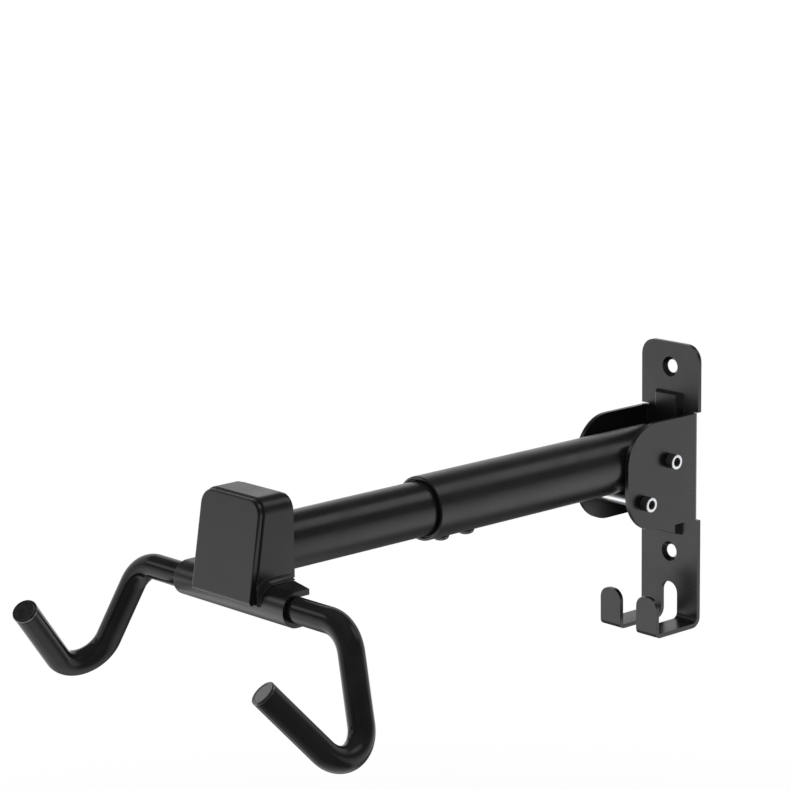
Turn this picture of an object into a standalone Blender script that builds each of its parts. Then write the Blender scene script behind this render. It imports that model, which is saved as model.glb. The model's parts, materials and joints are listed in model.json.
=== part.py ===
"""Folding wall mount that holds one bicycle by its top tube.

A pressed steel bracket screws to the wall, a telescopic arm folds up on it, and the head at the
arm's end carries a bent rod with two sleeved hooks. Run it in Blender 4.5. Metres, +Z up.
The wall is the plane X = 0, +X runs along the arm into the room, and Y = 0 is the middle plane.
The origin lies on the plate's wall face, in the plain band between the lower screw hole and the slot.
"""
import math

import bmesh
import bpy
from mathutils import Matrix, Vector

# Fits shared by all pieces
SEAT_GAP = 0.0003
RUNNING_GAP = 0.0001
CUT_BEYOND = 0.002

# Wall bracket, one pressed and bent sheet
SHEET = 0.003
PLATE_BESIDE_EARS = 0.0015
PLATE_CORNER = 0.011
WALL_SCREW_LOW = 0.013
WALL_SCREW_SPACING = 0.127
WALL_SCREW_HOLE = 0.009
COUNTERSINK = 0.0136
PLATE_ABOVE_SCREW = 0.0167
RIB_ABOVE_LOW_SCREW = 0.014
RIB_BELOW_HIGH_SCREW = 0.017
RIB_MOUTH = 0.0246
RIB_HEIGHT = 0.0042
RIB_SIDE_DRAFT = 0.0036
RIB_END_DRAFT = 0.0014
RIB_EDGE = 0.0010
SLOT_WIDTH = 0.0146
SLOT_TOP = -0.008

# Ears bent forward from the bracket's plate
EAR_BESIDE_ARM = 0.0005
EAR_BELOW_PIVOT = 0.0445
EAR_ABOVE_PIVOT = 0.0275
EAR_REACH = 0.068
EAR_CORNER = 0.027
EAR_BEND = 0.0040
EAR_RELIEF = 0.0008
REAR_ARC_END = 100.0

# Two small hooks bent forward from the bracket's foot
FOOT_UNDERSIDE = -0.035
FOOT_REACH = 0.043
FOOT_TIP = -0.008
FOOT_WALL_BEND = 0.007
FOOT_FRONT_BEND = 0.004
FOOT_TIP_CORNER = 0.0075

# Pivot and stop, each a sleeve nut with a cap screw
PIVOT_Z = 0.084
ARM_FROM_RIB = 0.0008
STOP_FROM_PIVOT = 0.024
BARREL_RADIUS = 0.004
NUT_HEAD_RADIUS = 0.0066
NUT_HEAD_HEIGHT = 0.0022
NUT_HEAD_CHAMFER = 0.0004
NUT_BORE_DEPTH = 0.026
THREAD_RADIUS = 0.003
CAP_HEAD_RADIUS = 0.005
CAP_HEAD_HEIGHT = 0.006
CAP_HEAD_CHAMFER = 0.0005
CAP_SOCKET_ACROSS = 0.005
CAP_SOCKET_DEPTH = 0.003
CAP_MOUTH_RADIUS = 0.0031
CAP_MOUTH_DEPTH = 0.001
CAP_SHANK_LENGTH = 0.022
PIVOT_BUSH_RADIUS = 0.007
PIVOT_BUSH_SIDE_GAP = 0.0002

# Telescopic arm
OUTER_RADIUS = 0.0204
TUBE_WALL = 0.0015
GUIDE_WALL = 0.0013
TUBE_EDGE = 0.0004
MOUTH_X = 0.230
INNER_REAR_X = 0.070
EXTEND_IN = 0.010
EXTEND_OUT = 0.080
GUIDE_LENGTH = 0.011
GUIDE_RECESS = 0.0015
GLIDE_LENGTH = 0.015
GLIDE_FLANGE = 0.0027
GLIDE_FLANGE_DEPTH = 0.003

# Clamp screws under the outer tube, and the nut bar inside the inner tube
CLAMP_FROM_MOUTH = 0.0175
CLAMP_SPACING = 0.0215
BUTTON_RADIUS = 0.0055
BUTTON_HEIGHT = 0.003
BUTTON_SOCKET_ACROSS = 0.004
BUTTON_SOCKET_DEPTH = 0.0018
NUT_BAR_WIDTH = 0.012
NUT_BAR_END = 0.008
NUT_BAR_THICKNESS = 0.0052
CLAMP_TIP_BEYOND = 0.001

# Head at the end of the inner tube
HEAD_BEHIND_ROD = 0.0158
HEAD_ABOVE_TUBE = 0.0194
HEAD_WIDTH = 0.056
HEAD_CORNER = 0.010
HEAD_SHEET = 0.003
FACE_INSET = 0.001
FRONT_RAKE = math.radians(9.4)
FACE_FROM_ROD = 0.0156
FACE_FOOT_ROUND = 0.002
FACE_WELD_LOW = 0.0008
FACE_WELD_HIGH = 0.0045
TUBE_PAST_ROD = 0.0027
STUD_RADIUS = 0.00325
STUD_ABOVE_TUBE = 0.0066
STUD_PROUD = 0.004
STUD_CHAMFER = 0.0005

# Channel that holds the hook rod
ROD_X = 0.3733
ROD_BELOW_TUBE = 0.0076
CHANNEL_WALL = 0.0035
CHANNEL_LENGTH = 0.102
FLANGE_BEHIND_ROD = 0.0153
FLANGE_END_CUT = 0.0055
FLANGE_CUT_FROM = 0.030
LIP_BEHIND_ROD = 0.0105
LIP_CORNER = 0.007
FLARE = 0.005
FLARE_TOE = 0.0002
FLARE_SINK = 0.00005
KEEPER_WIDTH = 0.0038
KEEPER_HEIGHT = 0.0040
KEEPER_LENGTH = 0.052

# Hook rod, its sleeves and end caps
ROD_RADIUS = 0.007
SLEEVE_RADIUS = 0.008
SLEEVE_FIT = 0.0003
SHOULDER_Y = 0.0955
SHOULDER_BEND = 0.024
CRADLE_FORWARD = 0.0193
CRADLE_Y = 0.1352
CRADLE_DROP = 0.0882
CRADLE_BEND = 0.0195
TIP_FORWARD = 0.0770
TIP_Y = 0.1121
TIP_DROP = 0.0182
SLEEVE_FROM_CHANNEL = 0.001
END_CAP_LENGTH = 0.002
END_CAP_CHAMFER = 0.0005

# Facets of round forms, and how the meshes are welded and shaded
CORNER_STEPS = 8
BEND_STEPS = 6
TUBE_STEPS = 48
PIN_STEPS = 24
SWEEP_RESOLUTION = 8
WELD_DISTANCE = 1e-6
SHARP_ANGLE = math.radians(35)
FLARE_STEP = 6
FLARE_LAST = -12
CARRIER_MARK = 0.02

# Places worked out from the sizes above
EAR_INSIDE = OUTER_RADIUS + EAR_BESIDE_ARM
EAR_OUTSIDE = EAR_INSIDE + SHEET
EAR_LOW = PIVOT_Z - EAR_BELOW_PIVOT
EAR_HIGH = PIVOT_Z + EAR_ABOVE_PIVOT
HALF_PLATE = EAR_OUTSIDE + PLATE_BESIDE_EARS
WALL_SCREW_HIGH = WALL_SCREW_LOW + WALL_SCREW_SPACING
PLATE_TOP = WALL_SCREW_HIGH + PLATE_ABOVE_SCREW
RIB_LOW = WALL_SCREW_LOW + RIB_ABOVE_LOW_SCREW
RIB_HIGH = WALL_SCREW_HIGH - RIB_BELOW_HIGH_SCREW
PIVOT_X = SHEET + RIB_HEIGHT + ARM_FROM_RIB + OUTER_RADIUS
STOP_X = PIVOT_X + STOP_FROM_PIVOT
STOP_Z = PIVOT_Z - OUTER_RADIUS - SEAT_GAP - BARREL_RADIUS
OUTER_BORE = OUTER_RADIUS - TUBE_WALL
INNER_RADIUS = OUTER_BORE - GUIDE_WALL - 2 * RUNNING_GAP
INNER_BORE = INNER_RADIUS - TUBE_WALL
NUT_BAR_TOP = INNER_BORE - SEAT_GAP - NUT_BAR_THICKNESS
CLAMP_FRONT_X = MOUTH_X - CLAMP_FROM_MOUTH
CLAMP_REAR_X = CLAMP_FRONT_X - CLAMP_SPACING
INNER_FRONT_X = ROD_X + TUBE_PAST_ROD
HEAD_REAR_X = ROD_X - HEAD_BEHIND_ROD
FLANGE_REAR_X = ROD_X - FLANGE_BEHIND_ROD
LIP_REAR_X = ROD_X - LIP_BEHIND_ROD
ROD_Z = PIVOT_Z - INNER_RADIUS - ROD_BELOW_TUBE
ROD_BORE = ROD_RADIUS + SEAT_GAP
CHANNEL_RADIUS = ROD_BORE + CHANNEL_WALL
CHANNEL_TOP = ROD_Z + CHANNEL_RADIUS
CHANNEL_BOTTOM = ROD_Z - CHANNEL_RADIUS
HEAD_TOP = PIVOT_Z + INNER_RADIUS + HEAD_ABOVE_TUBE
HALF_HEAD = HEAD_WIDTH / 2
HALF_FACE = HALF_HEAD - FACE_INSET
FACE_TOP = HEAD_TOP - FACE_INSET
STUD_Z = PIVOT_Z + INNER_RADIUS + STUD_ABOVE_TUBE


def face_x(z, behind=0.0):
    """X of the head's raked front face at height z, or of a plane that far behind it."""
    return ROD_X + (FACE_FROM_ROD - behind) / math.cos(FRONT_RAKE) - math.tan(FRONT_RAKE) * (z - ROD_Z)


# Scene, collections and materials

def clear_scene():
    for obj in list(bpy.data.objects):
        bpy.data.objects.remove(obj, do_unlink=True)


def new_collection(name):
    collection = bpy.data.collections.new(name)
    bpy.context.scene.collection.children.link(collection)
    return collection


def new_material(name, colour, roughness, metallic):
    material = bpy.data.materials.new(name)
    material.use_nodes = True
    shader = material.node_tree.nodes["Principled BSDF"]
    shader.inputs["Base Color"].default_value = (*colour, 1.0)
    shader.inputs["Roughness"].default_value = roughness
    shader.inputs["Metallic"].default_value = metallic
    return material


FINISHES = {
    "powder_coat": ((0.030, 0.030, 0.031), 0.42, 0.0),
    "bright_zinc": ((0.78, 0.78, 0.79), 0.24, 1.0),
    "black_oxide": ((0.055, 0.055, 0.058), 0.34, 0.9),
    "black_nylon": ((0.018, 0.018, 0.019), 0.50, 0.0),
    "vinyl_sleeve": ((0.020, 0.020, 0.021), 0.38, 0.0),
}


def place(obj, finish=None, carrier=None):
    """Puts a finished piece among the parts, with its own material, riding on its carrier."""
    PARTS.objects.link(obj)
    CUTTERS.objects.unlink(obj)
    obj.hide_render = False
    obj.display_type = "TEXTURED"
    obj.data.materials.clear()
    obj.data.materials.append(new_material(obj.name, *FINISHES[finish]))
    if carrier:
        obj.parent = carrier
        obj.matrix_parent_inverse = Matrix.Translation(carrier.matrix_world.translation).inverted()
    return obj


def new_carrier(name, location, parent=None):
    empty = bpy.data.objects.new(name, None)
    empty.empty_display_size = CARRIER_MARK
    empty.location = Vector(location) - (parent.matrix_world.translation if parent else Vector())
    empty.parent = parent
    PARTS.objects.link(empty)
    bpy.context.view_layer.update()
    return empty


# Shapes: each comes as a hidden helper until place() makes it a part

def helper(name, data, matrix=None):
    if isinstance(data, bpy.types.Mesh):
        data.shade_smooth()
        data.set_sharp_from_angle(angle=SHARP_ANGLE)
    obj = bpy.data.objects.new(name, data)
    if matrix is not None:
        obj.matrix_world = matrix
    CUTTERS.objects.link(obj)
    obj.hide_render = True
    obj.display_type = "WIRE"
    return obj


def arc(centre, radius, start, end, steps=CORNER_STEPS):
    """Points on an arc in a plane, from one angle to another in degrees."""
    angles = [math.radians(start + (end - start) * i / steps) for i in range(steps + 1)]
    return [(centre[0] + radius * math.cos(a), centre[1] + radius * math.sin(a)) for a in angles]


def rounded(corners, closed=True, steps=CORNER_STEPS):
    """The points of a path through corners (point, radius), each corner rounded by its radius."""
    points = []
    count = len(corners)
    for i, (corner, radius) in enumerate(corners):
        corner = Vector(corner)
        if not radius or (not closed and i in (0, count - 1)):
            points.append(corner)
            continue
        back = (Vector(corners[i - 1][0]) - corner).normalized()
        ahead = (Vector(corners[(i + 1) % count][0]) - corner).normalized()
        half = back.angle(ahead) / 2
        middle = (back + ahead).normalized()
        centre = corner + middle * radius / math.sin(half)
        across = (ahead - back).normalized()
        half_turn = math.pi / 2 - half
        for step in range(steps + 1):
            angle = half_turn * (2 * step / steps - 1)
            points.append(centre - middle * radius * math.cos(angle) + across * radius * math.sin(angle))
    return points


AXIS_FRAMES = {
    "X": Matrix(((0, 0, 1), (1, 0, 0), (0, 1, 0))).to_4x4(),
    "Y": Matrix(((1, 0, 0), (0, 0, -1), (0, 1, 0))).to_4x4(),
    "Z": Matrix.Identity(4),
}


def mesh_from(curve_object):
    """A mesh object in the place of a curve object, with its caps welded on."""
    bpy.context.view_layer.update()
    evaluated = curve_object.evaluated_get(bpy.context.evaluated_depsgraph_get())
    mesh = bpy.data.meshes.new_from_object(evaluated)
    shape = bmesh.new()
    shape.from_mesh(mesh)
    bmesh.ops.remove_doubles(shape, verts=shape.verts, dist=WELD_DISTANCE)
    bmesh.ops.recalc_face_normals(shape, faces=shape.faces)
    shape.to_mesh(mesh)
    shape.free()
    name = curve_object.name
    matrix = curve_object.matrix_world.copy()
    bpy.data.objects.remove(curve_object, do_unlink=True)
    return helper(name, mesh, matrix)


def prism(name, outline, axis, low, high):
    """A flat outline given thickness along an axis; it is in (y, z), (x, z) or (x, y)."""
    curve = bpy.data.curves.new(name, "CURVE")
    curve.dimensions = "2D"
    curve.fill_mode = "BOTH"
    curve.extrude = (high - low) / 2
    spline = curve.splines.new("POLY")
    spline.points.add(len(outline) - 1)
    for point, place_on in zip(spline.points, outline):
        point.co = (place_on[0], place_on[1], 0.0, 1.0)
    spline.use_cyclic_u = True
    middle = (high + low) / 2
    shift = {"X": (middle, 0, 0), "Y": (0, middle, 0), "Z": (0, 0, middle)}[axis]
    return mesh_from(helper(name, curve, Matrix.Translation(shift) @ AXIS_FRAMES[axis]))


def box(name, corner, opposite):
    """A block between two opposite corners."""
    corner = Vector(corner)
    opposite = Vector(opposite)
    shape = bmesh.new()
    bmesh.ops.create_cube(shape, size=1.0)
    bmesh.ops.scale(shape, vec=[abs(length) for length in opposite - corner], verts=shape.verts)
    mesh = bpy.data.meshes.new(name)
    shape.to_mesh(mesh)
    shape.free()
    return helper(name, mesh, Matrix.Translation((corner + opposite) / 2))


def cone(name, start, end, start_radius, end_radius, steps=PIN_STEPS):
    """A cylinder or cone between two points."""
    start = Vector(start)
    along = Vector(end) - start
    shape = bmesh.new()
    bmesh.ops.create_cone(shape, cap_ends=True, segments=steps, radius1=start_radius,
                          radius2=end_radius, depth=along.length)
    mesh = bpy.data.meshes.new(name)
    shape.to_mesh(mesh)
    shape.free()
    turn = Vector((0, 0, 1)).rotation_difference(along).to_matrix().to_4x4()
    return helper(name, mesh, Matrix.Translation(start + along / 2) @ turn)


def turned(name, profile, origin, direction, steps=PIN_STEPS):
    """A profile of (radius, distance along) turned about an axis; one off the axis closes into a ring."""
    ring = all(radius > 0 for radius, along in profile)
    area = sum(a[0] * b[1] - b[0] * a[1] for a, b in zip(profile, profile[1:] + profile[:1]))
    ordered = profile if area < 0 else profile[::-1]
    mesh = bpy.data.meshes.new(name)
    edges = [(i, i + 1) for i in range(len(ordered) - 1)]
    if ring:
        edges.append((len(ordered) - 1, 0))
    mesh.from_pydata([(radius, 0.0, along) for radius, along in ordered], edges, [])
    turn = Vector((0, 0, 1)).rotation_difference(Vector(direction)).to_matrix().to_4x4()
    obj = helper(name, mesh, Matrix.Translation(origin) @ turn)
    screw = obj.modifiers.new("Turn", "SCREW")
    screw.axis = "Z"
    screw.steps = steps
    screw.render_steps = steps
    screw.use_merge_vertices = True
    screw.merge_threshold = WELD_DISTANCE
    return obj


def sweep(name, points, radius, capped=True):
    """A round bar along a path; without caps it is an open skin."""
    curve = bpy.data.curves.new(name, "CURVE")
    curve.dimensions = "3D"
    curve.bevel_depth = radius
    curve.bevel_resolution = SWEEP_RESOLUTION
    curve.use_fill_caps = capped
    spline = curve.splines.new("POLY")
    spline.points.add(len(points) - 1)
    for point, place_on in zip(spline.points, points):
        point.co = (*place_on, 1.0)
    return mesh_from(helper(name, curve))


def lofted(name, sections):
    """A solid through equal outlines of points in a row, closed at both ends."""
    shape = bmesh.new()
    rings = [[shape.verts.new(point) for point in section] for section in sections]
    for ring, following in zip(rings, rings[1:]):
        for i, vertex in enumerate(ring):
            shape.faces.new((ring[i - 1], vertex, following[i], following[i - 1]))
    shape.faces.new(rings[0])
    shape.faces.new(rings[-1])
    bmesh.ops.recalc_face_normals(shape, faces=shape.faces)
    mesh = bpy.data.meshes.new(name)
    shape.to_mesh(mesh)
    shape.free()
    return helper(name, mesh)


def combine(obj, other, operation):
    modifier = obj.modifiers.new(other.name, "BOOLEAN")
    modifier.object = other
    modifier.operation = operation
    modifier.solver = "EXACT"
    return obj


def cut(obj, *others):
    for other in others:
        combine(obj, other, "DIFFERENCE")
    return obj


def join(obj, *others):
    for other in others:
        combine(obj, other, "UNION")
    return obj


def keep_inside(obj, other):
    return combine(obj, other, "INTERSECT")


def bevel(obj, width):
    modifier = obj.modifiers.new("Edges", "BEVEL")
    modifier.width = width
    modifier.segments = 2
    modifier.limit_method = "ANGLE"
    modifier.angle_limit = SHARP_ANGLE
    return obj


# Wall bracket

def bent_strip(name, outer_corners, inner_corners, axis, low, high):
    """A bent strip as one outline, out along one face and back along the other."""
    outline = rounded(outer_corners, closed=False, steps=BEND_STEPS)
    outline += rounded(inner_corners, closed=False, steps=BEND_STEPS)[::-1]
    return prism(name, outline, axis, low, high)


def corner_cutter(name, corner, radius, side, near, far):
    """What lies outside a rounded upper corner (y, z) of a sheet that faces +X."""
    centre = (corner[0] - side * radius, corner[1] - radius)
    outline = arc(centre, radius, 0 if side > 0 else 180, 90)
    beyond = corner[0] + side * CUT_BEYOND
    above = corner[1] + CUT_BEYOND
    outline += [(centre[0], above), (beyond, above), (beyond, centre[1])]
    return prism(name, outline, "X", near - CUT_BEYOND, far + CUT_BEYOND)


def raised_block(name, near, far, near_half, far_half, near_grow, far_grow):
    """The rib's tapered block, between two planes of X, with softened edges."""
    shape = bmesh.new()
    bmesh.ops.create_cube(shape, size=2.0)
    middle = (RIB_LOW + RIB_HIGH) / 2
    half_length = (RIB_HIGH - RIB_LOW) / 2
    for vertex in shape.verts:
        is_far = vertex.co.x > 0
        half = far_half if is_far else near_half
        grow = far_grow if is_far else near_grow
        vertex.co = (far if is_far else near, vertex.co.y * half,
                     middle + vertex.co.z * (half_length + grow))
    mesh = bpy.data.meshes.new(name)
    shape.to_mesh(mesh)
    shape.free()
    return bevel(helper(name, mesh), RIB_EDGE)


def ears():
    """Both ears and the web between them, as one channel with rounded front corners."""
    outer = [((EAR_REACH + CUT_BEYOND, -EAR_OUTSIDE), 0), ((0, -EAR_OUTSIDE), EAR_BEND),
             ((0, EAR_OUTSIDE), EAR_BEND), ((EAR_REACH + CUT_BEYOND, EAR_OUTSIDE), 0)]
    inner = [((EAR_REACH + CUT_BEYOND, -EAR_INSIDE), 0), ((SHEET, -EAR_INSIDE), EAR_BEND - SHEET),
             ((SHEET, EAR_INSIDE), EAR_BEND - SHEET), ((EAR_REACH + CUT_BEYOND, EAR_INSIDE), 0)]
    channel = bent_strip("ears", outer, inner, "Z", EAR_LOW - CUT_BEYOND, EAR_HIGH + CUT_BEYOND)
    side = rounded([((-CUT_BEYOND, EAR_LOW), 0), ((EAR_REACH, EAR_LOW), EAR_CORNER),
                    ((EAR_REACH, EAR_HIGH), EAR_CORNER), ((-CUT_BEYOND, EAR_HIGH), 0)],
                   steps=2 * CORNER_STEPS)
    reach = EAR_OUTSIDE + CUT_BEYOND
    keep_inside(channel, prism("ear_side", side, "Y", -reach, reach))
    hole = BARREL_RADIUS + RUNNING_GAP
    for name, x, z in (("pivot_hole", PIVOT_X, PIVOT_Z), ("stop_hole", STOP_X, STOP_Z)):
        cut(channel, cone(name, (x, -reach, z), (x, reach, z), hole, hole))
    return channel


def wall_bracket():
    foot_top = FOOT_UNDERSIDE + SHEET
    outer = [((0, PLATE_TOP), 0), ((0, FOOT_UNDERSIDE), FOOT_WALL_BEND),
             ((FOOT_REACH, FOOT_UNDERSIDE), FOOT_FRONT_BEND), ((FOOT_REACH, FOOT_TIP), 0)]
    inner = [((SHEET, PLATE_TOP), 0), ((SHEET, foot_top), FOOT_WALL_BEND - SHEET),
             ((FOOT_REACH - SHEET, foot_top), FOOT_FRONT_BEND - SHEET), ((FOOT_REACH - SHEET, FOOT_TIP), 0)]
    plate = bent_strip("wall_bracket", outer, inner, "Y", -HALF_PLATE, HALF_PLATE)
    half_slot = SLOT_WIDTH / 2
    notch = EAR_OUTSIDE - EAR_BEND - EAR_RELIEF
    for side in (-1, 1):
        cut(plate, corner_cutter("plate_corner", (side * HALF_PLATE, PLATE_TOP), PLATE_CORNER, side,
                                 0, SHEET),
            corner_cutter("tip_outside", (side * HALF_PLATE, FOOT_TIP), FOOT_TIP_CORNER, side,
                          FOOT_REACH - SHEET, FOOT_REACH),
            corner_cutter("tip_inside", (side * half_slot, FOOT_TIP), FOOT_TIP_CORNER, -side,
                          FOOT_REACH - SHEET, FOOT_REACH),
            box("ear_notch", (-CUT_BEYOND, side * notch, EAR_LOW - EAR_RELIEF),
                (SHEET + CUT_BEYOND, side * (HALF_PLATE + CUT_BEYOND), EAR_HIGH + EAR_RELIEF)))
    crown = arc((0, SLOT_TOP - half_slot), half_slot, 0, 180, 2 * CORNER_STEPS)
    slot = crown + [(-half_slot, FOOT_UNDERSIDE - CUT_BEYOND), (half_slot, FOOT_UNDERSIDE - CUT_BEYOND)]
    cut(plate, prism("foot_slot", slot, "X", -CUT_BEYOND, FOOT_REACH + CUT_BEYOND),
        box("tip_slot", (FOOT_REACH / 2, -half_slot, FOOT_UNDERSIDE - CUT_BEYOND),
            (FOOT_REACH + CUT_BEYOND, half_slot, FOOT_TIP + CUT_BEYOND)))
    join(plate, ears())
    mouth = RIB_MOUTH / 2
    floor = mouth - RIB_SIDE_DRAFT
    join(plate, raised_block("rib_front", SHEET / 2, SHEET + RIB_HEIGHT, mouth + RIB_EDGE, floor + RIB_EDGE,
                             RIB_EDGE, RIB_EDGE - RIB_END_DRAFT))
    cut(plate, raised_block("rib_back", -SHEET, RIB_HEIGHT, mouth, floor, 0, -RIB_END_DRAFT))
    hole = WALL_SCREW_HOLE / 2
    wide = COUNTERSINK / 2
    above = SHEET + CUT_BEYOND
    countersunk = [(0, -CUT_BEYOND), (hole, -CUT_BEYOND), (hole, SHEET - wide + hole),
                   (wide + CUT_BEYOND, above), (0, above)]
    for z in (WALL_SCREW_LOW, WALL_SCREW_HIGH):
        cut(plate, turned("wall_screw_hole", countersunk, (0, 0, z), (1, 0, 0)))
    return place(plate, "powder_coat")


# Pivot and stop

def sleeve_nut(name, x, z):
    """A barrel through both ears, with a flat head on the left and a threaded bore on the right."""
    end = NUT_HEAD_HEIGHT + 2 * EAR_OUTSIDE
    bore = THREAD_RADIUS + RUNNING_GAP
    profile = [(0, 0), (NUT_HEAD_RADIUS - NUT_HEAD_CHAMFER, 0), (NUT_HEAD_RADIUS, NUT_HEAD_CHAMFER),
               (NUT_HEAD_RADIUS, NUT_HEAD_HEIGHT), (BARREL_RADIUS, NUT_HEAD_HEIGHT), (BARREL_RADIUS, end),
               (bore, end), (bore, end - NUT_BORE_DEPTH), (0, end - NUT_BORE_DEPTH)]
    start = -EAR_OUTSIDE - SEAT_GAP - NUT_HEAD_HEIGHT
    return place(turned(name, profile, (x, start, z), (0, 1, 0)), "bright_zinc")


def hex_socket(name, start, direction, across, depth):
    """A hexagonal socket that opens at start and goes the way of direction."""
    start = Vector(start)
    direction = Vector(direction)
    radius = across / math.sqrt(3)
    return cone(name, start - direction * CUT_BEYOND, start + direction * depth, radius, radius, 6)


def cap_screw(name, x, z):
    """A cap screw in from the right, threaded into the sleeve nut's bore."""
    top = CAP_HEAD_HEIGHT + CAP_SHANK_LENGTH
    profile = [(0, 0), (THREAD_RADIUS, 0), (THREAD_RADIUS, CAP_SHANK_LENGTH),
               (CAP_HEAD_RADIUS, CAP_SHANK_LENGTH), (CAP_HEAD_RADIUS, top - CAP_HEAD_CHAMFER),
               (CAP_HEAD_RADIUS - CAP_HEAD_CHAMFER, top), (0, top)]
    seat = EAR_OUTSIDE + SEAT_GAP
    screw = turned(name, profile, (x, seat - CAP_SHANK_LENGTH, z), (0, 1, 0))
    face = seat + CAP_HEAD_HEIGHT
    cut(screw, hex_socket("cap_socket", (x, face, z), (0, -1, 0), CAP_SOCKET_ACROSS, CAP_SOCKET_DEPTH),
        cone("socket_mouth", (x, face + CUT_BEYOND, z), (x, face - CAP_MOUTH_DEPTH, z),
             CAP_MOUTH_RADIUS + CUT_BEYOND, CAP_MOUTH_RADIUS - CAP_MOUTH_DEPTH))
    return place(screw, "black_oxide")


# Telescopic arm

def pivot_cylinder(name, radius, half_length):
    return cone(name, (PIVOT_X, -half_length, PIVOT_Z), (PIVOT_X, half_length, PIVOT_Z), radius, radius,
                TUBE_STEPS)


def clamp_hole(name, x, radius, low, high):
    return cone(name, (x, 0, low), (x, 0, high), radius, radius)


def folding_side():
    """The arm's side outline: its rear is round about the pivot, so that it clears the plate."""
    beyond = OUTER_RADIUS + CUT_BEYOND
    last = math.radians(REAR_ARC_END)
    rise = OUTER_RADIUS * math.sin(last)
    run = OUTER_RADIUS * math.cos(last) - (beyond - rise) * math.tan(last)
    rear = arc((PIVOT_X, PIVOT_Z), OUTER_RADIUS, REAR_ARC_END, 360 - REAR_ARC_END, 2 * CORNER_STEPS)
    front = MOUTH_X + CUT_BEYOND
    return rear + [(PIVOT_X + run, PIVOT_Z - beyond), (front, PIVOT_Z - beyond), (front, PIVOT_Z + beyond),
                   (PIVOT_X + run, PIVOT_Z + beyond)]


def outer_tube(carrier):
    start = PIVOT_X - OUTER_RADIUS - CUT_BEYOND
    length = MOUTH_X - start
    profile = [(OUTER_BORE, 0), (OUTER_RADIUS, 0), (OUTER_RADIUS, length - TUBE_EDGE),
               (OUTER_RADIUS - TUBE_EDGE, length), (OUTER_BORE + TUBE_EDGE, length),
               (OUTER_BORE, length - TUBE_EDGE)]
    tube = turned("outer_tube", profile, (start, 0, PIVOT_Z), (1, 0, 0), TUBE_STEPS)
    beyond = OUTER_RADIUS + CUT_BEYOND
    keep_inside(tube, prism("tube_side", folding_side(), "Y", -beyond, beyond))
    cut(tube, pivot_cylinder("bush_hole", PIVOT_BUSH_RADIUS + RUNNING_GAP, beyond))
    for x in (CLAMP_FRONT_X, CLAMP_REAR_X):
        cut(tube, clamp_hole("clamp_hole", x, THREAD_RADIUS + SEAT_GAP, PIVOT_Z - beyond, PIVOT_Z))
    return place(tube, "powder_coat", carrier)


def pivot_bush(carrier):
    """The tube across the arm that turns on the pivot's barrel."""
    half = EAR_INSIDE - PIVOT_BUSH_SIDE_GAP
    bore = BARREL_RADIUS + RUNNING_GAP
    profile = [(bore, -half), (PIVOT_BUSH_RADIUS, -half), (PIVOT_BUSH_RADIUS, half), (bore, half)]
    return place(turned("pivot_bush", profile, (PIVOT_X, 0, PIVOT_Z), (0, 1, 0)), "black_nylon", carrier)


def arm_ring(name, profile, start):
    return turned(name, profile, (start, 0, PIVOT_Z), (1, 0, 0), TUBE_STEPS)


def mouth_guide_bush(carrier):
    inside = INNER_RADIUS + RUNNING_GAP
    outside = OUTER_BORE - RUNNING_GAP
    profile = [(inside, 0), (outside, 0), (outside, GUIDE_LENGTH), (inside, GUIDE_LENGTH)]
    return place(arm_ring("mouth_guide_bush", profile, MOUTH_X - GUIDE_RECESS - GUIDE_LENGTH), "black_nylon",
                 carrier)


def inner_tube(carrier):
    length = INNER_FRONT_X - INNER_REAR_X
    profile = [(INNER_BORE, 0), (INNER_RADIUS, 0), (INNER_RADIUS, length), (INNER_BORE, length)]
    tube = arm_ring("inner_tube", profile, INNER_REAR_X)
    half = THREAD_RADIUS + SEAT_GAP
    rear = (CLAMP_REAR_X - EXTEND_OUT, 0)
    front = (CLAMP_FRONT_X + EXTEND_IN, 0)
    slot = arc(rear, half + RUNNING_GAP, 90, 270) + arc(front, half + RUNNING_GAP, -90, 90)
    cut(tube, prism("clamp_slot", slot, "Z", PIVOT_Z - INNER_RADIUS - CUT_BEYOND, PIVOT_Z))
    return place(tube, "powder_coat", carrier)


def inner_tube_glide(carrier):
    """The glide ring on the inner tube's rear end, with a flange behind the tube's edge."""
    inside = INNER_RADIUS + RUNNING_GAP
    outside = OUTER_BORE - RUNNING_GAP
    step = GLIDE_FLANGE - SEAT_GAP
    flange = INNER_RADIUS - GLIDE_FLANGE_DEPTH
    profile = [(flange, 0), (outside, 0), (outside, GLIDE_LENGTH), (inside, GLIDE_LENGTH), (inside, step),
               (flange, step)]
    return place(arm_ring("inner_tube_glide", profile, INNER_REAR_X - GLIDE_FLANGE), "black_nylon", carrier)


def clamp_screw(name, x, carrier):
    """A button head screw, up through the outer tube and the inner tube's slot into the nut bar."""
    seat = PIVOT_Z - OUTER_RADIUS - SEAT_GAP
    tip = PIVOT_Z - NUT_BAR_TOP + CLAMP_TIP_BEYOND
    flatten = BUTTON_HEIGHT / BUTTON_RADIUS
    dome = [(radius, -height * flatten) for radius, height in arc((0, 0), BUTTON_RADIUS, 90, 0)[1:]]
    profile = [(0, -BUTTON_HEIGHT)] + dome
    profile += [(THREAD_RADIUS, 0), (THREAD_RADIUS, tip - seat), (0, tip - seat)]
    screw = turned(name, profile, (x, 0, seat), (0, 0, 1))
    cut(screw, hex_socket("button_socket", (x, 0, seat - BUTTON_HEIGHT), (0, 0, 1), BUTTON_SOCKET_ACROSS,
                          BUTTON_SOCKET_DEPTH))
    return place(screw, "black_oxide", carrier)


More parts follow.
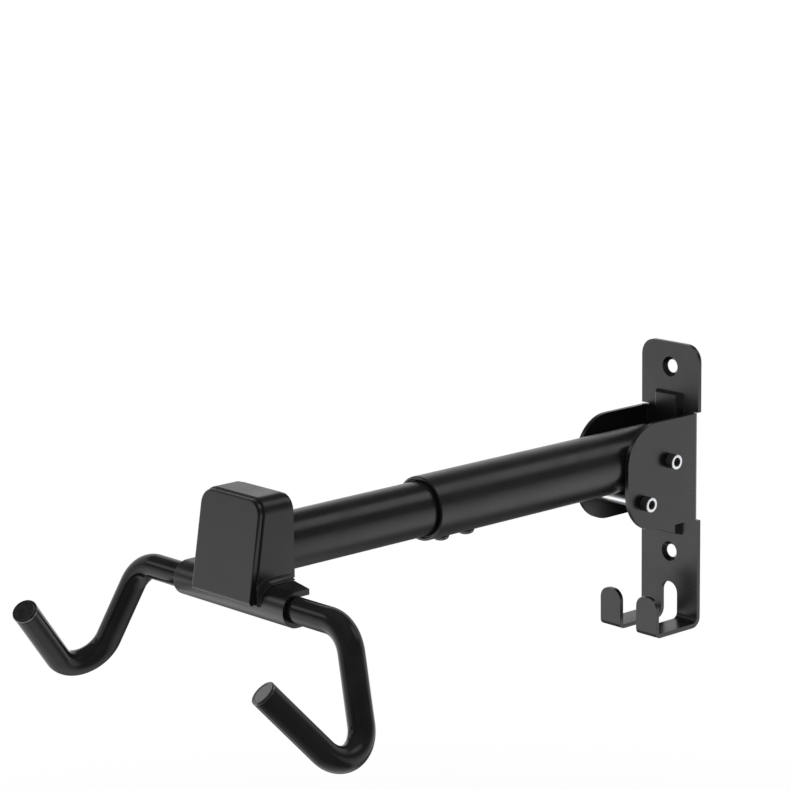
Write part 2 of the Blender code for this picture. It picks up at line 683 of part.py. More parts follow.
def clamp_nut_bar(carrier):
    """The bar inside the inner tube that both clamp screws pull down."""
    half = NUT_BAR_WIDTH / 2
    rear = CLAMP_REAR_X - NUT_BAR_END
    front = CLAMP_FRONT_X + NUT_BAR_END
    bar = box("clamp_nut_bar", (rear, -half, PIVOT_Z - NUT_BAR_TOP), (front, half, PIVOT_Z - INNER_RADIUS))
    rest = INNER_BORE - SEAT_GAP
    keep_inside(bar, cone("bar_underside", (rear - CUT_BEYOND, 0, PIVOT_Z), (front + CUT_BEYOND, 0, PIVOT_Z),
                          rest, rest, TUBE_STEPS))
    for x in (CLAMP_REAR_X, CLAMP_FRONT_X):
        cut(bar, clamp_hole("bar_thread", x, THREAD_RADIUS + RUNNING_GAP, PIVOT_Z - INNER_RADIUS, PIVOT_Z))
    return place(bar, "bright_zinc", carrier)


# Head

def face_outline(bottom):
    """The outline (y, z) of the head's two face plates, with rounded upper corners."""
    corner = HEAD_CORNER - FACE_INSET
    return rounded([((-HALF_FACE, bottom), 0), ((HALF_FACE, bottom), 0), ((HALF_FACE, FACE_TOP), corner),
                    ((-HALF_FACE, FACE_TOP), corner)])


def inner_tube_clearance():
    radius = INNER_RADIUS + RUNNING_GAP
    return cone("tube_clearance", (HEAD_REAR_X - CUT_BEYOND - 2 * HEAD_SHEET, 0, PIVOT_Z),
                (INNER_FRONT_X + SEAT_GAP, 0, PIVOT_Z), radius, radius, TUBE_STEPS)


def head_back_plate(carrier):
    bottom = CHANNEL_TOP + SEAT_GAP
    front = HEAD_REAR_X - SEAT_GAP
    plate = prism("head_back_plate", face_outline(bottom), "X", front - HEAD_SHEET, front)
    hole = STUD_RADIUS + RUNNING_GAP
    behind = front - HEAD_SHEET - CUT_BEYOND
    cut(plate, inner_tube_clearance(),
        cone("stud_hole", (behind, 0, STUD_Z), (front + CUT_BEYOND, 0, STUD_Z), hole, hole))
    return place(plate, "powder_coat", carrier)


def flare_profile(side):
    """The hollow corner (y, distance out from the band's seat) where its side meets the channel."""
    centre = (HALF_HEAD - FLARE_SINK + FLARE, FLARE)
    last = 270 - math.degrees(math.acos(1 - FLARE_TOE / FLARE))
    curve = arc(centre, FLARE, 180, last)
    inside = HALF_HEAD - HEAD_SHEET / 2
    outline = [(inside, -SEAT_GAP), (inside, FLARE)] + curve + [(curve[-1][0], -SEAT_GAP)]
    return [(side * y, out) for y, out in outline]


def head_flare(side):
    """The flare on one side: straight along the channel's flat top, then round its front."""
    base = CHANNEL_RADIUS + SEAT_GAP
    profile = flare_profile(side)
    sections = [[(HEAD_REAR_X + FLARE_TOE, y, ROD_Z + base + out) for y, out in profile]]
    for turn in range(90, FLARE_LAST - 1, -FLARE_STEP):
        angle = math.radians(turn)
        sections.append([(ROD_X + (base + out) * math.cos(angle), y, ROD_Z + (base + out) * math.sin(angle))
                         for y, out in profile])
    return lofted("head_flare", sections)


def head_band(carrier):
    """The strip bent over the head's top and down both sides, standing on the channel."""
    low = ROD_Z - CUT_BEYOND
    high = HEAD_TOP - HEAD_SHEET
    inside = HALF_HEAD - HEAD_SHEET
    inner_corner = HEAD_CORNER - HEAD_SHEET
    outline = rounded([((-HALF_HEAD, low), 0), ((-HALF_HEAD, HEAD_TOP), HEAD_CORNER),
                       ((HALF_HEAD, HEAD_TOP), HEAD_CORNER), ((HALF_HEAD, low), 0), ((inside, low), 0),
                       ((inside, high), inner_corner), ((-inside, high), inner_corner), ((-inside, low), 0)])
    front = face_x(ROD_Z, HEAD_SHEET + SEAT_GAP)
    band = prism("head_band", outline, "X", HEAD_REAR_X - CUT_BEYOND, front + CUT_BEYOND)
    for side in (-1, 1):
        join(band, head_flare(side))
    above = HEAD_TOP + CUT_BEYOND
    stands_on = arc((ROD_X, ROD_Z), CHANNEL_RADIUS + SEAT_GAP, 90, 0, 2 * CORNER_STEPS)
    side_view = [(HEAD_REAR_X, above), (HEAD_REAR_X, stands_on[0][1])] + stands_on
    side_view += [(front, ROD_Z), (face_x(above, HEAD_SHEET + SEAT_GAP), above)]
    reach = HALF_HEAD + 2 * FLARE
    keep_inside(band, prism("band_side", side_view, "Y", -reach, reach))
    return place(band, "powder_coat", carrier)


def channel_profile():
    """The channel from the side: flat top, round front, flat lip under the rod."""
    outer = [(FLANGE_REAR_X, CHANNEL_TOP)] + arc((ROD_X, ROD_Z), CHANNEL_RADIUS, 90, -90, 3 * CORNER_STEPS)
    outer += [(LIP_REAR_X, CHANNEL_BOTTOM)]
    inner = [(LIP_REAR_X, ROD_Z - ROD_BORE)] + arc((ROD_X, ROD_Z), ROD_BORE, -90, 90, 3 * CORNER_STEPS)
    inner += [(FLANGE_REAR_X, ROD_Z + ROD_BORE)]
    return outer + inner


def face_profile():
    """The front plate from the side: raked, with a rounded lower edge level with the rod's centre."""
    foot = face_x(ROD_Z, HEAD_SHEET)
    return rounded([((face_x(FACE_TOP), FACE_TOP), 0), ((face_x(ROD_Z), ROD_Z), FACE_FOOT_ROUND),
                    ((foot, ROD_Z), 0), ((face_x(FACE_TOP, HEAD_SHEET), FACE_TOP), 0)])


def face_weld():
    """The weld inside the head between the front plate's back and the channel."""
    middle_of_wall = (ROD_BORE + CHANNEL_RADIUS) / 2
    low = ROD_Z + FACE_WELD_LOW
    high = ROD_Z + FACE_WELD_HIGH
    first, last = (math.degrees(math.asin((z - ROD_Z) / middle_of_wall)) for z in (low, high))
    outline = arc((ROD_X, ROD_Z), middle_of_wall, first, last)
    outline += [(face_x(high, HEAD_SHEET / 2), high), (face_x(low, HEAD_SHEET / 2), low)]
    half = HALF_HEAD - HEAD_SHEET - SEAT_GAP
    return prism("face_weld", outline, "Y", -half, half)


def front_bracket(carrier):
    """The head's front plate, and the channel across its foot that holds the rod."""
    half = CHANNEL_LENGTH / 2
    bracket = prism("front_bracket", channel_profile(), "Y", -half, half)
    plate = prism("front_plate", face_profile(), "Y", -HALF_HEAD, HALF_HEAD)
    keep_inside(plate, prism("front_face", face_outline(CHANNEL_BOTTOM - CUT_BEYOND), "X", ROD_X - HALF_HEAD,
                             ROD_X + HALF_HEAD))
    join(bracket, plate, face_weld())
    for side in (-1, 1):
        end = side * (half + CUT_BEYOND)
        slant = FLANGE_END_CUT * (1 + CUT_BEYOND / (half - FLANGE_CUT_FROM))
        behind = FLANGE_REAR_X - CUT_BEYOND
        top_cut = [(behind, side * FLANGE_CUT_FROM), (FLANGE_REAR_X, side * FLANGE_CUT_FROM),
                   (FLANGE_REAR_X + slant, end), (behind, end)]
        centre = (LIP_REAR_X + LIP_CORNER, side * (half - LIP_CORNER))
        lip_cut = arc(centre, LIP_CORNER, 180, 180 - side * 90)
        lip_cut += [(centre[0], end), (LIP_REAR_X - CUT_BEYOND, end), (LIP_REAR_X - CUT_BEYOND, centre[1])]
        cut(bracket, prism("flange_end_cutter", top_cut, "Z", ROD_Z, CHANNEL_TOP + CUT_BEYOND),
            prism("lip_corner_cutter", lip_cut, "Z", CHANNEL_BOTTOM - CUT_BEYOND,
                  ROD_Z - ROD_BORE + CUT_BEYOND))
    cut(bracket, inner_tube_clearance())
    return place(bracket, "powder_coat", carrier)


def head_stud(carrier):
    """The stud that ties the front plate to the back plate; its end stands proud at the rear."""
    start = HEAD_REAR_X - SEAT_GAP - HEAD_SHEET - STUD_PROUD
    length = face_x(STUD_Z + STUD_RADIUS, HEAD_SHEET) - SEAT_GAP - start
    profile = [(0, 0), (STUD_RADIUS - STUD_CHAMFER, 0), (STUD_RADIUS, STUD_CHAMFER), (STUD_RADIUS, length),
               (0, length)]
    return place(turned("head_stud", profile, (start, 0, STUD_Z), (1, 0, 0)), "black_oxide", carrier)


def rod_keeper_bar(carrier):
    """The bar on the channel's lip that keeps the rod from coming out at the rear."""
    half = KEEPER_LENGTH / 2
    floor = ROD_Z - ROD_BORE + SEAT_GAP
    bar = box("rod_keeper_bar", (LIP_REAR_X, -half, floor),
              (LIP_REAR_X + KEEPER_WIDTH, half, floor + KEEPER_HEIGHT))
    return place(bar, "powder_coat", carrier)


# Hooks

def hook_corners(side):
    """The rod's corners on one side (point, bend radius), from the shoulder to the tip."""
    return [((ROD_X, side * SHOULDER_Y, ROD_Z), SHOULDER_BEND),
            ((ROD_X + CRADLE_FORWARD, side * CRADLE_Y, ROD_Z - CRADLE_DROP), CRADLE_BEND),
            ((ROD_X + TIP_FORWARD, side * TIP_Y, ROD_Z - TIP_DROP), 0)]


def shortened(corners, length):
    """The same corners with the last one drawn back along its leg."""
    tip = Vector(corners[-1][0])
    along = (tip - Vector(corners[-2][0])).normalized()
    return corners[:-1] + [(tip - along * length, 0)]


def hook_rod(carrier):
    left, right = (shortened(hook_corners(side), END_CAP_LENGTH + SEAT_GAP) for side in (-1, 1))
    path = rounded(left[::-1] + right, closed=False)
    return place(sweep("hook_rod", path, ROD_RADIUS), "powder_coat", carrier)


def hook_sleeve(name, side, carrier):
    """The soft sleeve over one hook, from beside the channel to the end cap."""
    corners = shortened(hook_corners(side), END_CAP_LENGTH + SEAT_GAP)
    start = (ROD_X, side * (CHANNEL_LENGTH / 2 + SLEEVE_FROM_CHANNEL), ROD_Z)
    skin = sweep(name, rounded([(start, 0)] + corners, closed=False), SLEEVE_RADIUS, capped=False)
    wall = skin.modifiers.new("Wall", "SOLIDIFY")
    wall.thickness = SLEEVE_RADIUS - ROD_RADIUS - SLEEVE_FIT
    wall.offset = -1
    return place(skin, "vinyl_sleeve", carrier)


def end_cap(name, side, carrier):
    """The flat disc that closes the rod's end and its sleeve."""
    corners = hook_corners(side)
    tip = Vector(corners[-1][0])
    along = (tip - Vector(corners[-2][0])).normalized()
    rim = SLEEVE_RADIUS - END_CAP_CHAMFER
    profile = [(0, 0), (SLEEVE_RADIUS, 0), (SLEEVE_RADIUS, END_CAP_LENGTH - END_CAP_CHAMFER),
               (rim, END_CAP_LENGTH), (0, END_CAP_LENGTH)]
    return place(turned(name, profile, tip - along * END_CAP_LENGTH, along), "vinyl_sleeve", carrier)


clear_scene()
PARTS = new_collection("bike_wall_mount")
CUTTERS = new_collection("cutters")

wall_bracket()
sleeve_nut("pivot_sleeve_nut", PIVOT_X, PIVOT_Z)
cap_screw("pivot_screw", PIVOT_X, PIVOT_Z)
sleeve_nut("stop_sleeve_nut", STOP_X, STOP_Z)
cap_screw("stop_screw", STOP_X, STOP_Z)

arm = new_carrier("arm_pivot", (PIVOT_X, 0, PIVOT_Z))
outer_tube(arm)
pivot_bush(arm)
mouth_guide_bush(arm)
clamp_screw("clamp_screw_front", CLAMP_FRONT_X, arm)
clamp_screw("clamp_screw_rear", CLAMP_REAR_X, arm)
clamp_nut_bar(arm)

extension = new_carrier("extension_slide", (MOUTH_X, 0, PIVOT_Z), arm)
inner_tube(extension)
inner_tube_glide(extension)
head_back_plate(extension)
head_band(extension)
front_bracket(extension)
head_stud(extension)
rod_keeper_bar(extension)

hooks = new_carrier("hook_tilt", (ROD_X, 0, ROD_Z), extension)
hook_rod(hooks)
for side_name, side_sign in (("left", -1), ("right", 1)):
    hook_sleeve(side_name + "_hook_sleeve", side_sign, hooks)
    end_cap(side_name + "_end_cap", side_sign, hooks)
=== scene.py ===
# %% [markdown]
# A folding wall mount with two hooks, dressed for a studio picture. Its pieces come from a model whose solids
# have the right sizes but plain facets. Each one is built again here, in the same place, with rounded edges
# and a finish of its own. Everything is in metres: X points out of the wall, Y to the right for someone who
# faces the wall, and Z up.

# %% Load the solids
import json
import math

import bmesh
import bpy
from mathutils import Matrix, Vector

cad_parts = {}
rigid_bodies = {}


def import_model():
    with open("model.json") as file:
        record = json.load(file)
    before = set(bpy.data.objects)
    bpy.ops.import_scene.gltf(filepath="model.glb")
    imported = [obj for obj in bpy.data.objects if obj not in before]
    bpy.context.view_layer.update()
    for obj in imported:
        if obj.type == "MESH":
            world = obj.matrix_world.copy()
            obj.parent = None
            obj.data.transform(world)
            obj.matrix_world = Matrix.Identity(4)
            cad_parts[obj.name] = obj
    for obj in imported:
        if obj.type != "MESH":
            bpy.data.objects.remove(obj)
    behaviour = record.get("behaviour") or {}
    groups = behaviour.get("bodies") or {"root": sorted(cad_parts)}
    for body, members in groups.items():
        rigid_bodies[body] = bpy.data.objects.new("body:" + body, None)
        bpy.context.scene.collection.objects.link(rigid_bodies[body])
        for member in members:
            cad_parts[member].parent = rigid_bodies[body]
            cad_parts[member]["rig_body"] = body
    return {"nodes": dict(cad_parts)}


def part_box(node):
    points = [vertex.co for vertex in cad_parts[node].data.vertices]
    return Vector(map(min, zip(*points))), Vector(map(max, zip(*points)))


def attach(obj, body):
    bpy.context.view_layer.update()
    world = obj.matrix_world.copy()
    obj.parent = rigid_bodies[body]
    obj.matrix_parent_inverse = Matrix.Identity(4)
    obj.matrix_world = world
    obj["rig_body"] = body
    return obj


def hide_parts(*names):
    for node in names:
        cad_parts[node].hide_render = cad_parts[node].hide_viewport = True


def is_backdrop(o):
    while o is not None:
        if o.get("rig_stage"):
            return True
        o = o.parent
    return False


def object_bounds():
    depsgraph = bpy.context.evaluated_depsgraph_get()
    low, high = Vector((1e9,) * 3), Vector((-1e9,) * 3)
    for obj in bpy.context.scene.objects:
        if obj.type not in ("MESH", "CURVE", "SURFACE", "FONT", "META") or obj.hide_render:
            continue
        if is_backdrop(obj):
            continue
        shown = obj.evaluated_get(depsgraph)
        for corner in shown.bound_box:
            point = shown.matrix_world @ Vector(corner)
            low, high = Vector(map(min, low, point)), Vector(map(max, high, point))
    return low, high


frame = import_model()
cad_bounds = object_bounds()
OBJECT_MIDDLE = (Vector(cad_bounds[0]) + Vector(cad_bounds[1])) / 2
MM = 0.001
MICRON = 0.001 * MM
print("solids:", len(frame["nodes"]))

# %% [markdown]
# The mount is pictured from its front right and a little above. A long lens stands far away, so that the
# far hook looks hardly smaller than the near one. Blender would take the camera's turn as three Euler
# angles. Three plainer ones are given here: which way it looks over the ground, how far down it looks, and
# how far it leans to one side.

# %% Camera
HEADING = math.radians(228.10)
LOOK_DOWN = math.radians(12.19)
LEAN = math.radians(-0.87)
CAMERA_PLACE = Vector((1.4311, 1.3175, 0.5413))
LENS = 135.42
SENSOR_WIDTH = 36.0
FARTHEST_SEEN = 50.0

camera_data = bpy.data.cameras.new("camera")
camera_data.lens = LENS
camera_data.sensor_width = SENSOR_WIDTH
camera_data.clip_end = FARTHEST_SEEN
camera = bpy.data.objects.new("camera", camera_data)
forward = Vector((math.cos(HEADING) * math.cos(LOOK_DOWN), math.sin(HEADING) * math.cos(LOOK_DOWN),
                  -math.sin(LOOK_DOWN)))
lean = Matrix.Rotation(LEAN, 3, "Z").to_quaternion()
camera.location = CAMERA_PLACE
camera.rotation_mode = "QUATERNION"
camera.rotation_quaternion = forward.to_track_quat("-Z", "Y") @ lean
bpy.context.scene.collection.objects.link(camera)
bpy.context.scene.camera = camera
print("camera looks along", [round(x, 3) for x in forward])

# %% [markdown]
# The room's light, the floor and every finish are made of nodes. In the editor each would be placed and wired
# by hand. Here a small helper places a node and fills its sockets, by name or by number, with a value or with
# another node's output.


# %% Node helper
def node(tree, kind, settings=None, sockets=None):
    """A node in a tree, with its settings and its sockets filled."""
    made = tree.nodes.new(kind)
    for name, value in (settings or {}).items():
        setattr(made, name, value)
    for name, value in (sockets or {}).items():
        if isinstance(value, bpy.types.NodeSocket):
            tree.links.new(value, made.inputs[name])
        else:
            made.inputs[name].default_value = value
    return made


print("node helper ready")

# %% [markdown]
# The same few steps come back in every finish: a ramp from one value to another, a sum, some noise, and a mix
# of two values or two colours. Each has a helper here, so that a finish reads as a short list of what it is
# made of. The last one tells a straight look of the camera from a look in a mirror.

# %% Ramps, sums and mixes
PLAIN_RESULTS = ("DISTANCE", "DOT_PRODUCT", "LENGTH")


def ramp(tree, value, start, end, low=0.0, high=1.0, shape="SMOOTHSTEP"):
    """A value that goes from low to high while another one goes from start to end."""
    return node(tree, "ShaderNodeMapRange", {"interpolation_type": shape}, {
        "Value": value, "From Min": start, "From Max": end, "To Min": low, "To Max": high}).outputs[0]


def maths(tree, operation, *values):
    """The result of a sum on plain values."""
    return node(tree, "ShaderNodeMath", {"operation": operation}, dict(enumerate(values))).outputs[0]


def vector_maths(tree, operation, *vectors):
    """The result of a sum on vectors; a plain value for a length, a distance or a dot product."""
    made = node(tree, "ShaderNodeVectorMath", {"operation": operation}, dict(enumerate(vectors)))
    return made.outputs["Value" if operation in PLAIN_RESULTS else "Vector"]


def noise(tree, place, scale, detail=2.0, roughness=0.5, distortion=0.0):
    """Soft random values from 0 to 1, about as many to the metre as the scale says."""
    return node(tree, "ShaderNodeTexNoise", sockets={
        "Vector": place, "Scale": scale, "Detail": detail, "Roughness": roughness,
        "Distortion": distortion}).outputs["Fac"]


def value_between(tree, factor, low, high):
    """A value that goes from low to high with a mask."""
    return node(tree, "ShaderNodeMix", {"data_type": "FLOAT"}, {"Factor": factor, 2: low, 3: high}).outputs[0]


def colour_between(tree, factor, low, high):
    """A colour that goes from low to high with a mask."""
    low, high = (c if isinstance(c, bpy.types.NodeSocket) else (*c, 1) for c in (low, high))
    return node(tree, "ShaderNodeMix", {"data_type": "RGBA"}, {"Factor": factor, 6: low, 7: high}).outputs[2]


def who_looks(tree):
    """Two masks: 1 where the camera looks straight at it, and 1 where gloss or glass mirrors it."""
    ray = node(tree, "ShaderNodeLightPath").outputs
    return ray["Is Camera Ray"], maths(tree, "MAXIMUM", ray["Is Glossy Ray"], ray["Is Transmission Ray"])


print("vector sums with a plain result:", *PLAIN_RESULTS)

# %% [markdown]
# Satin black shows its form only through what it mirrors. A white backdrop stands behind the object, with a
# low bright panel beside it. The room on the camera's side is dim and its ceiling almost black. A panorama
# picture is the usual way to give such a room. Here the direction in which a surface looks decides the light
# instead, so each patch can be moved until its reflection lies right.

# %% Room light
BACKDROP_LIGHT = 0.90
BACKDROP_SIDE = (-0.669, -0.743, 0.0)
BACKDROP_EDGE = (0.05, 0.45)
BACKDROP_TOP = (0.40, 0.64)
PANEL_LIGHT = 1.05
PANEL_EDGE = (-0.46, -0.14)
PANEL_TOP = (0.03, 0.20)
ROOM_DIM = 0.20
CEILING_DIM = 0.05
CEILING_EDGE = (0.30, 0.62)

world = bpy.data.worlds.new("studio")
bpy.context.scene.world = world
world.use_nodes = True
sky = world.node_tree
sky.nodes.clear()
direction = node(sky, "ShaderNodeTexCoord").outputs["Generated"]
height = node(sky, "ShaderNodeSeparateXYZ", sockets={0: direction}).outputs["Z"]
behind = vector_maths(sky, "DOT_PRODUCT", direction, BACKDROP_SIDE)
dim_room = ramp(sky, height, *CEILING_EDGE, ROOM_DIM, CEILING_DIM)
backdrop = maths(sky, "MULTIPLY", ramp(sky, height, *BACKDROP_TOP, BACKDROP_LIGHT, 0.0),
                 ramp(sky, behind, *BACKDROP_EDGE))
panel = maths(sky, "MULTIPLY", ramp(sky, behind, *PANEL_EDGE, 0.0, PANEL_LIGHT),
              ramp(sky, height, *PANEL_TOP, 1.0, 0.0))
room_light = maths(sky, "MAXIMUM", maths(sky, "MAXIMUM", dim_room, backdrop), panel)
print("backdrop", BACKDROP_LIGHT, "panel", PANEL_LIGHT, "room", ROOM_DIM, "ceiling", CEILING_DIM)

# %% [markdown]
# Two soft lights high in the room draw a pale band along each tube and along the hooks. Each is a direction
# with a strength and a spread in degrees. Lamps would do that too, but their light would also fall on the
# matt surfaces.

# %% Long lights
LONG_LIGHTS = {(-0.653, 0.305, 0.693): (1.35, 17), (0.501, -0.730, 0.465): (1.60, 10)}

for place, (strength, spread) in LONG_LIGHTS.items():
    nearness = vector_maths(sky, "DOT_PRODUCT", direction, place)
    edge, core = (math.cos(math.radians(angle)) for angle in (spread, spread / 2))
    room_light = maths(sky, "MAXIMUM", room_light, ramp(sky, nearness, edge, core, 0.0, strength))
print("long lights:", len(LONG_LIGHTS))

# %% [markdown]
# The camera sees plain white everywhere. What is mirrored adds no light of its own to matt surfaces, which
# have a weak even light with a cool cast. So the world is a mix of two backgrounds, and the kind of ray
# decides which one it meets.

# %% What each ray meets
WORLD_LIGHT = 0.60
WORLD_CAST = (0.86, 0.88, 0.90, 1)

in_view, in_mirror = who_looks(sky)
even_light = node(sky, "ShaderNodeBackground", sockets={"Color": WORLD_CAST, "Strength": WORLD_LIGHT})
seen_light = node(sky, "ShaderNodeBackground", sockets={
    "Color": (1, 1, 1, 1), "Strength": maths(sky, "MAXIMUM", room_light, in_view)})
world_mix = node(sky, "ShaderNodeMixShader", sockets={
    0: maths(sky, "MAXIMUM", in_mirror, in_view), 1: even_light.outputs[0], 2: seen_light.outputs[0]})
node(sky, "ShaderNodeOutputWorld", sockets={"Surface": world_mix.outputs[0]})
bpy.context.scene.view_settings.view_transform = "Standard"
print("world light:", WORLD_LIGHT)

# %% [markdown]
# Two softboxes light the matt part of each finish and make the shadow. They are hidden from reflections,
# because the room's patches already stand in for them there.

# %% Softboxes
SOFTBOXES = {"key": ((1.2, 0.6, 1.5), (1.2, 1.2), 26), "top": ((0.1, 0.2, 1.8), (1.6, 1.0), 22)}

for name, (place, size, power) in SOFTBOXES.items():
    data = bpy.data.lights.new(name, "AREA")
    data.shape = "RECTANGLE"
    data.size, data.size_y = size
    data.energy = power
    lamp = bpy.data.objects.new(name, data)
    lamp.location = place
    lamp.rotation_euler = (OBJECT_MIDDLE - Vector(place)).to_track_quat("-Z", "Y").to_euler()
    lamp.visible_glossy = False
    bpy.context.scene.collection.objects.link(lamp)

# %% [markdown]
# The real mount is pictured off its wall, so the floor lies well below it and takes only a soft shadow. Far
# from the object the floor fades into the white of the backdrop, so that no edge shows.

# %% Floor
FLOOR_DEPTH = -0.42
FLOOR_REACH = 3.0
FLOOR_PARTS = 8

floor_mesh = bpy.data.meshes.new("studio_floor")
floor_shape = bmesh.new()
bmesh.ops.create_grid(floor_shape, x_segments=FLOOR_PARTS, y_segments=FLOOR_PARTS, size=FLOOR_REACH)
floor_shape.to_mesh(floor_mesh)
floor_shape.free()
floor = bpy.data.objects.new("studio_floor", floor_mesh)
floor.location = (OBJECT_MIDDLE.x, 0, FLOOR_DEPTH)
bpy.context.scene.collection.objects.link(floor)
floor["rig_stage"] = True
print("floor lies", round((cad_bounds[0][2] - FLOOR_DEPTH) / MM), "mm below the object")

# %% [markdown]
# Powder coat is baked from dry powder, so its skin is never flat: it has the soft dimples of orange peel, a
# few tenths of a millimetre to a millimetre wide, with finer grit on top. The same effect at other sizes
# suits moulded nylon and soft vinyl, so it is a node group. It gives a height for bump and a fleck mask.

# %% Fine skin group
GRIT_TO_DIMPLE = 4.3
FLECK_EDGE = (0.55, 0.72)


def new_group(name, inputs, outputs):
    """A shader node group with named sockets; returns its tree, its input node and its output node."""
    tree = bpy.data.node_groups.new(name, "ShaderNodeTree")
    for socket, kind, value in inputs:
        made = tree.interface.new_socket(socket, in_out="INPUT", socket_type=kind)
        made.default_value = value
    for socket, kind in outputs:
        tree.interface.new_socket(socket, in_out="OUTPUT", socket_type=kind)
    return tree, tree.nodes.new("NodeGroupInput"), tree.nodes.new("NodeGroupOutput")


skin_tree, skin_in, skin_out = new_group(
    "fine_skin",
    [("Dimples per metre", "NodeSocketFloat", 900.0), ("Grit share", "NodeSocketFloat", 0.35)],
    [("Height", "NodeSocketFloat"), ("Flecks", "NodeSocketFloat")])
skin_place = node(skin_tree, "ShaderNodeTexCoord").outputs["Object"]
dimple_scale = skin_in.outputs["Dimples per metre"]
dimples = noise(skin_tree, skin_place, dimple_scale, detail=1.5, roughness=0.45)
grit = noise(skin_tree, skin_place, maths(skin_tree, "MULTIPLY", dimple_scale, GRIT_TO_DIMPLE), roughness=0.6)
skin_height = value_between(skin_tree, skin_in.outputs["Grit share"], dimples, grit)
skin_tree.links.new(skin_height, skin_out.inputs["Height"])
skin_tree.links.new(ramp(skin_tree, grit, *FLECK_EDGE), skin_out.inputs["Flecks"])
print("group:", skin_tree.name)

# %% [markdown]
# Coated edges look different from coated faces: powder draws back from them and hands rub them, so they are
# a little lighter and smoother. The Bevel node gives the normal that a rounder edge would have. Where that
# differs from the real normal an edge is near, and the difference becomes a mask, broken up by noise so that
# no edge looks drawn with a ruler.

# %% Rubbed edge group
BEVEL_SAMPLES = 4
SAME_NORMAL = 0.995
CORNER_NORMAL = 0.86
RUB_PATCHES_PER_METRE = 140.0
PATCH_EDGE = (0.35, 0.62)

rub_tree, rub_in, rub_out = new_group(
    "rubbed_edges",
    [("Width", "NodeSocketFloat", 0.0008), ("Patchiness", "NodeSocketFloat", 0.5)],
    [("Mask", "NodeSocketFloat")])
rounder = node(rub_tree, "ShaderNodeBevel", {"samples": BEVEL_SAMPLES}, {"Radius": rub_in.outputs["Width"]})
real_normal = node(rub_tree, "ShaderNodeNewGeometry").outputs["Normal"]
likeness = vector_maths(rub_tree, "DOT_PRODUCT", rounder.outputs[0], real_normal)
near_edge = ramp(rub_tree, likeness, SAME_NORMAL, CORNER_NORMAL)
rub_place = node(rub_tree, "ShaderNodeTexCoord").outputs["Object"]
patches = noise(rub_tree, rub_place, RUB_PATCHES_PER_METRE, detail=3.0, roughness=0.65)
patches = ramp(rub_tree, patches, *PATCH_EDGE, shape="LINEAR")
whole_or_patchy = value_between(rub_tree, rub_in.outputs["Patchiness"], 1.0, patches)
rub_tree.links.new(maths(rub_tree, "MULTIPLY", near_edge, whole_or_patchy), rub_out.inputs["Mask"])
print("group:", rub_tree.name)

# %% [markdown]
# Nothing that was packed and handled is evenly clean. Faint smudges a few centimetres across change the
# gloss, and a little dust settles on what faces up. Both are masks that the materials use sparingly.

# %% Handling group
SMUDGE_EDGE = (0.38, 0.66)
FACES_UP = (0.55, 0.98)
SPECKS_PER_METRE = 2600.0
SPECK_EDGE = (0.52, 0.70)

hand_tree, hand_in, hand_out = new_group(
    "handling",
    [("Smudges per metre", "NodeSocketFloat", 26.0)],
    [("Smudges", "NodeSocketFloat"), ("Dust", "NodeSocketFloat")])
hand_place = node(hand_tree, "ShaderNodeTexCoord").outputs["Object"]
smudge = noise(hand_tree, hand_place, hand_in.outputs["Smudges per metre"], detail=4.0, roughness=0.55,
               distortion=0.6)
facing = node(hand_tree, "ShaderNodeSeparateXYZ", sockets={
    0: node(hand_tree, "ShaderNodeNewGeometry").outputs["Normal"]})
upward = ramp(hand_tree, facing.outputs["Z"], *FACES_UP)
specks = noise(hand_tree, hand_place, SPECKS_PER_METRE, detail=1.0)
settled = ramp(hand_tree, specks, *SPECK_EDGE, shape="LINEAR")
hand_tree.links.new(ramp(hand_tree, smudge, *SMUDGE_EDGE), hand_out.inputs["Smudges"])
hand_tree.links.new(maths(hand_tree, "MULTIPLY", upward, settled), hand_out.inputs["Dust"])
print("group:", hand_tree.name)

# %% [markdown]
# A turned screw head keeps fine rings from the tool, centred on its own axis. The group takes the axis as a
# point and a direction, measures how far each spot is from it, and turns that into a wavy height.

# %% Turned rings group
WOBBLES_PER_METRE = 1800.0

ring_tree, ring_in, ring_out = new_group(
    "turned_rings",
    [("Centre", "NodeSocketVector", (0, 0, 0)), ("Axis", "NodeSocketVector", (0, 1, 0)),
     ("Rings per metre", "NodeSocketFloat", 9000.0)],
    [("Height", "NodeSocketFloat")])
ring_place = node(ring_tree, "ShaderNodeTexCoord").outputs["Object"]
from_centre = vector_maths(ring_tree, "SUBTRACT", ring_place, ring_in.outputs["Centre"])
across = vector_maths(ring_tree, "CROSS_PRODUCT", from_centre, ring_in.outputs["Axis"])
reach = vector_maths(ring_tree, "LENGTH", across)
wave = maths(ring_tree, "SINE", maths(ring_tree, "MULTIPLY", reach, ring_in.outputs["Rings per metre"]))
wobble = noise(ring_tree, ring_place, WOBBLES_PER_METRE)
ring_tree.links.new(maths(ring_tree, "MULTIPLY", wave, wobble), ring_out.inputs["Height"])
print("group:", ring_tree.name)

# %% [markdown]
# Each material has one Principled shader. What is the same all over is set on the shader's own sockets. What
# changes over the surface, its colour, roughness and fine relief, comes from the groups through nodes.


# %% Material helpers
def new_material(name, **constants):
    """A material with one Principled shader; its constant values go straight on the shader's sockets."""
    material = bpy.data.materials.new(name)
    material.use_nodes = True
    tree = material.node_tree
    shader = tree.nodes["Principled BSDF"]
    for socket, value in constants.items():
        shader.inputs[socket.replace("_", " ")].default_value = value
    return material, tree, shader


def placed_group(tree, group, **values):
    """A copy of a node group in a material's tree."""
    made = node(tree, "ShaderNodeGroup", {"node_tree": group})
    for socket, value in values.items():
        made.inputs[socket.replace("_", " ")].default_value = value
    return made.outputs


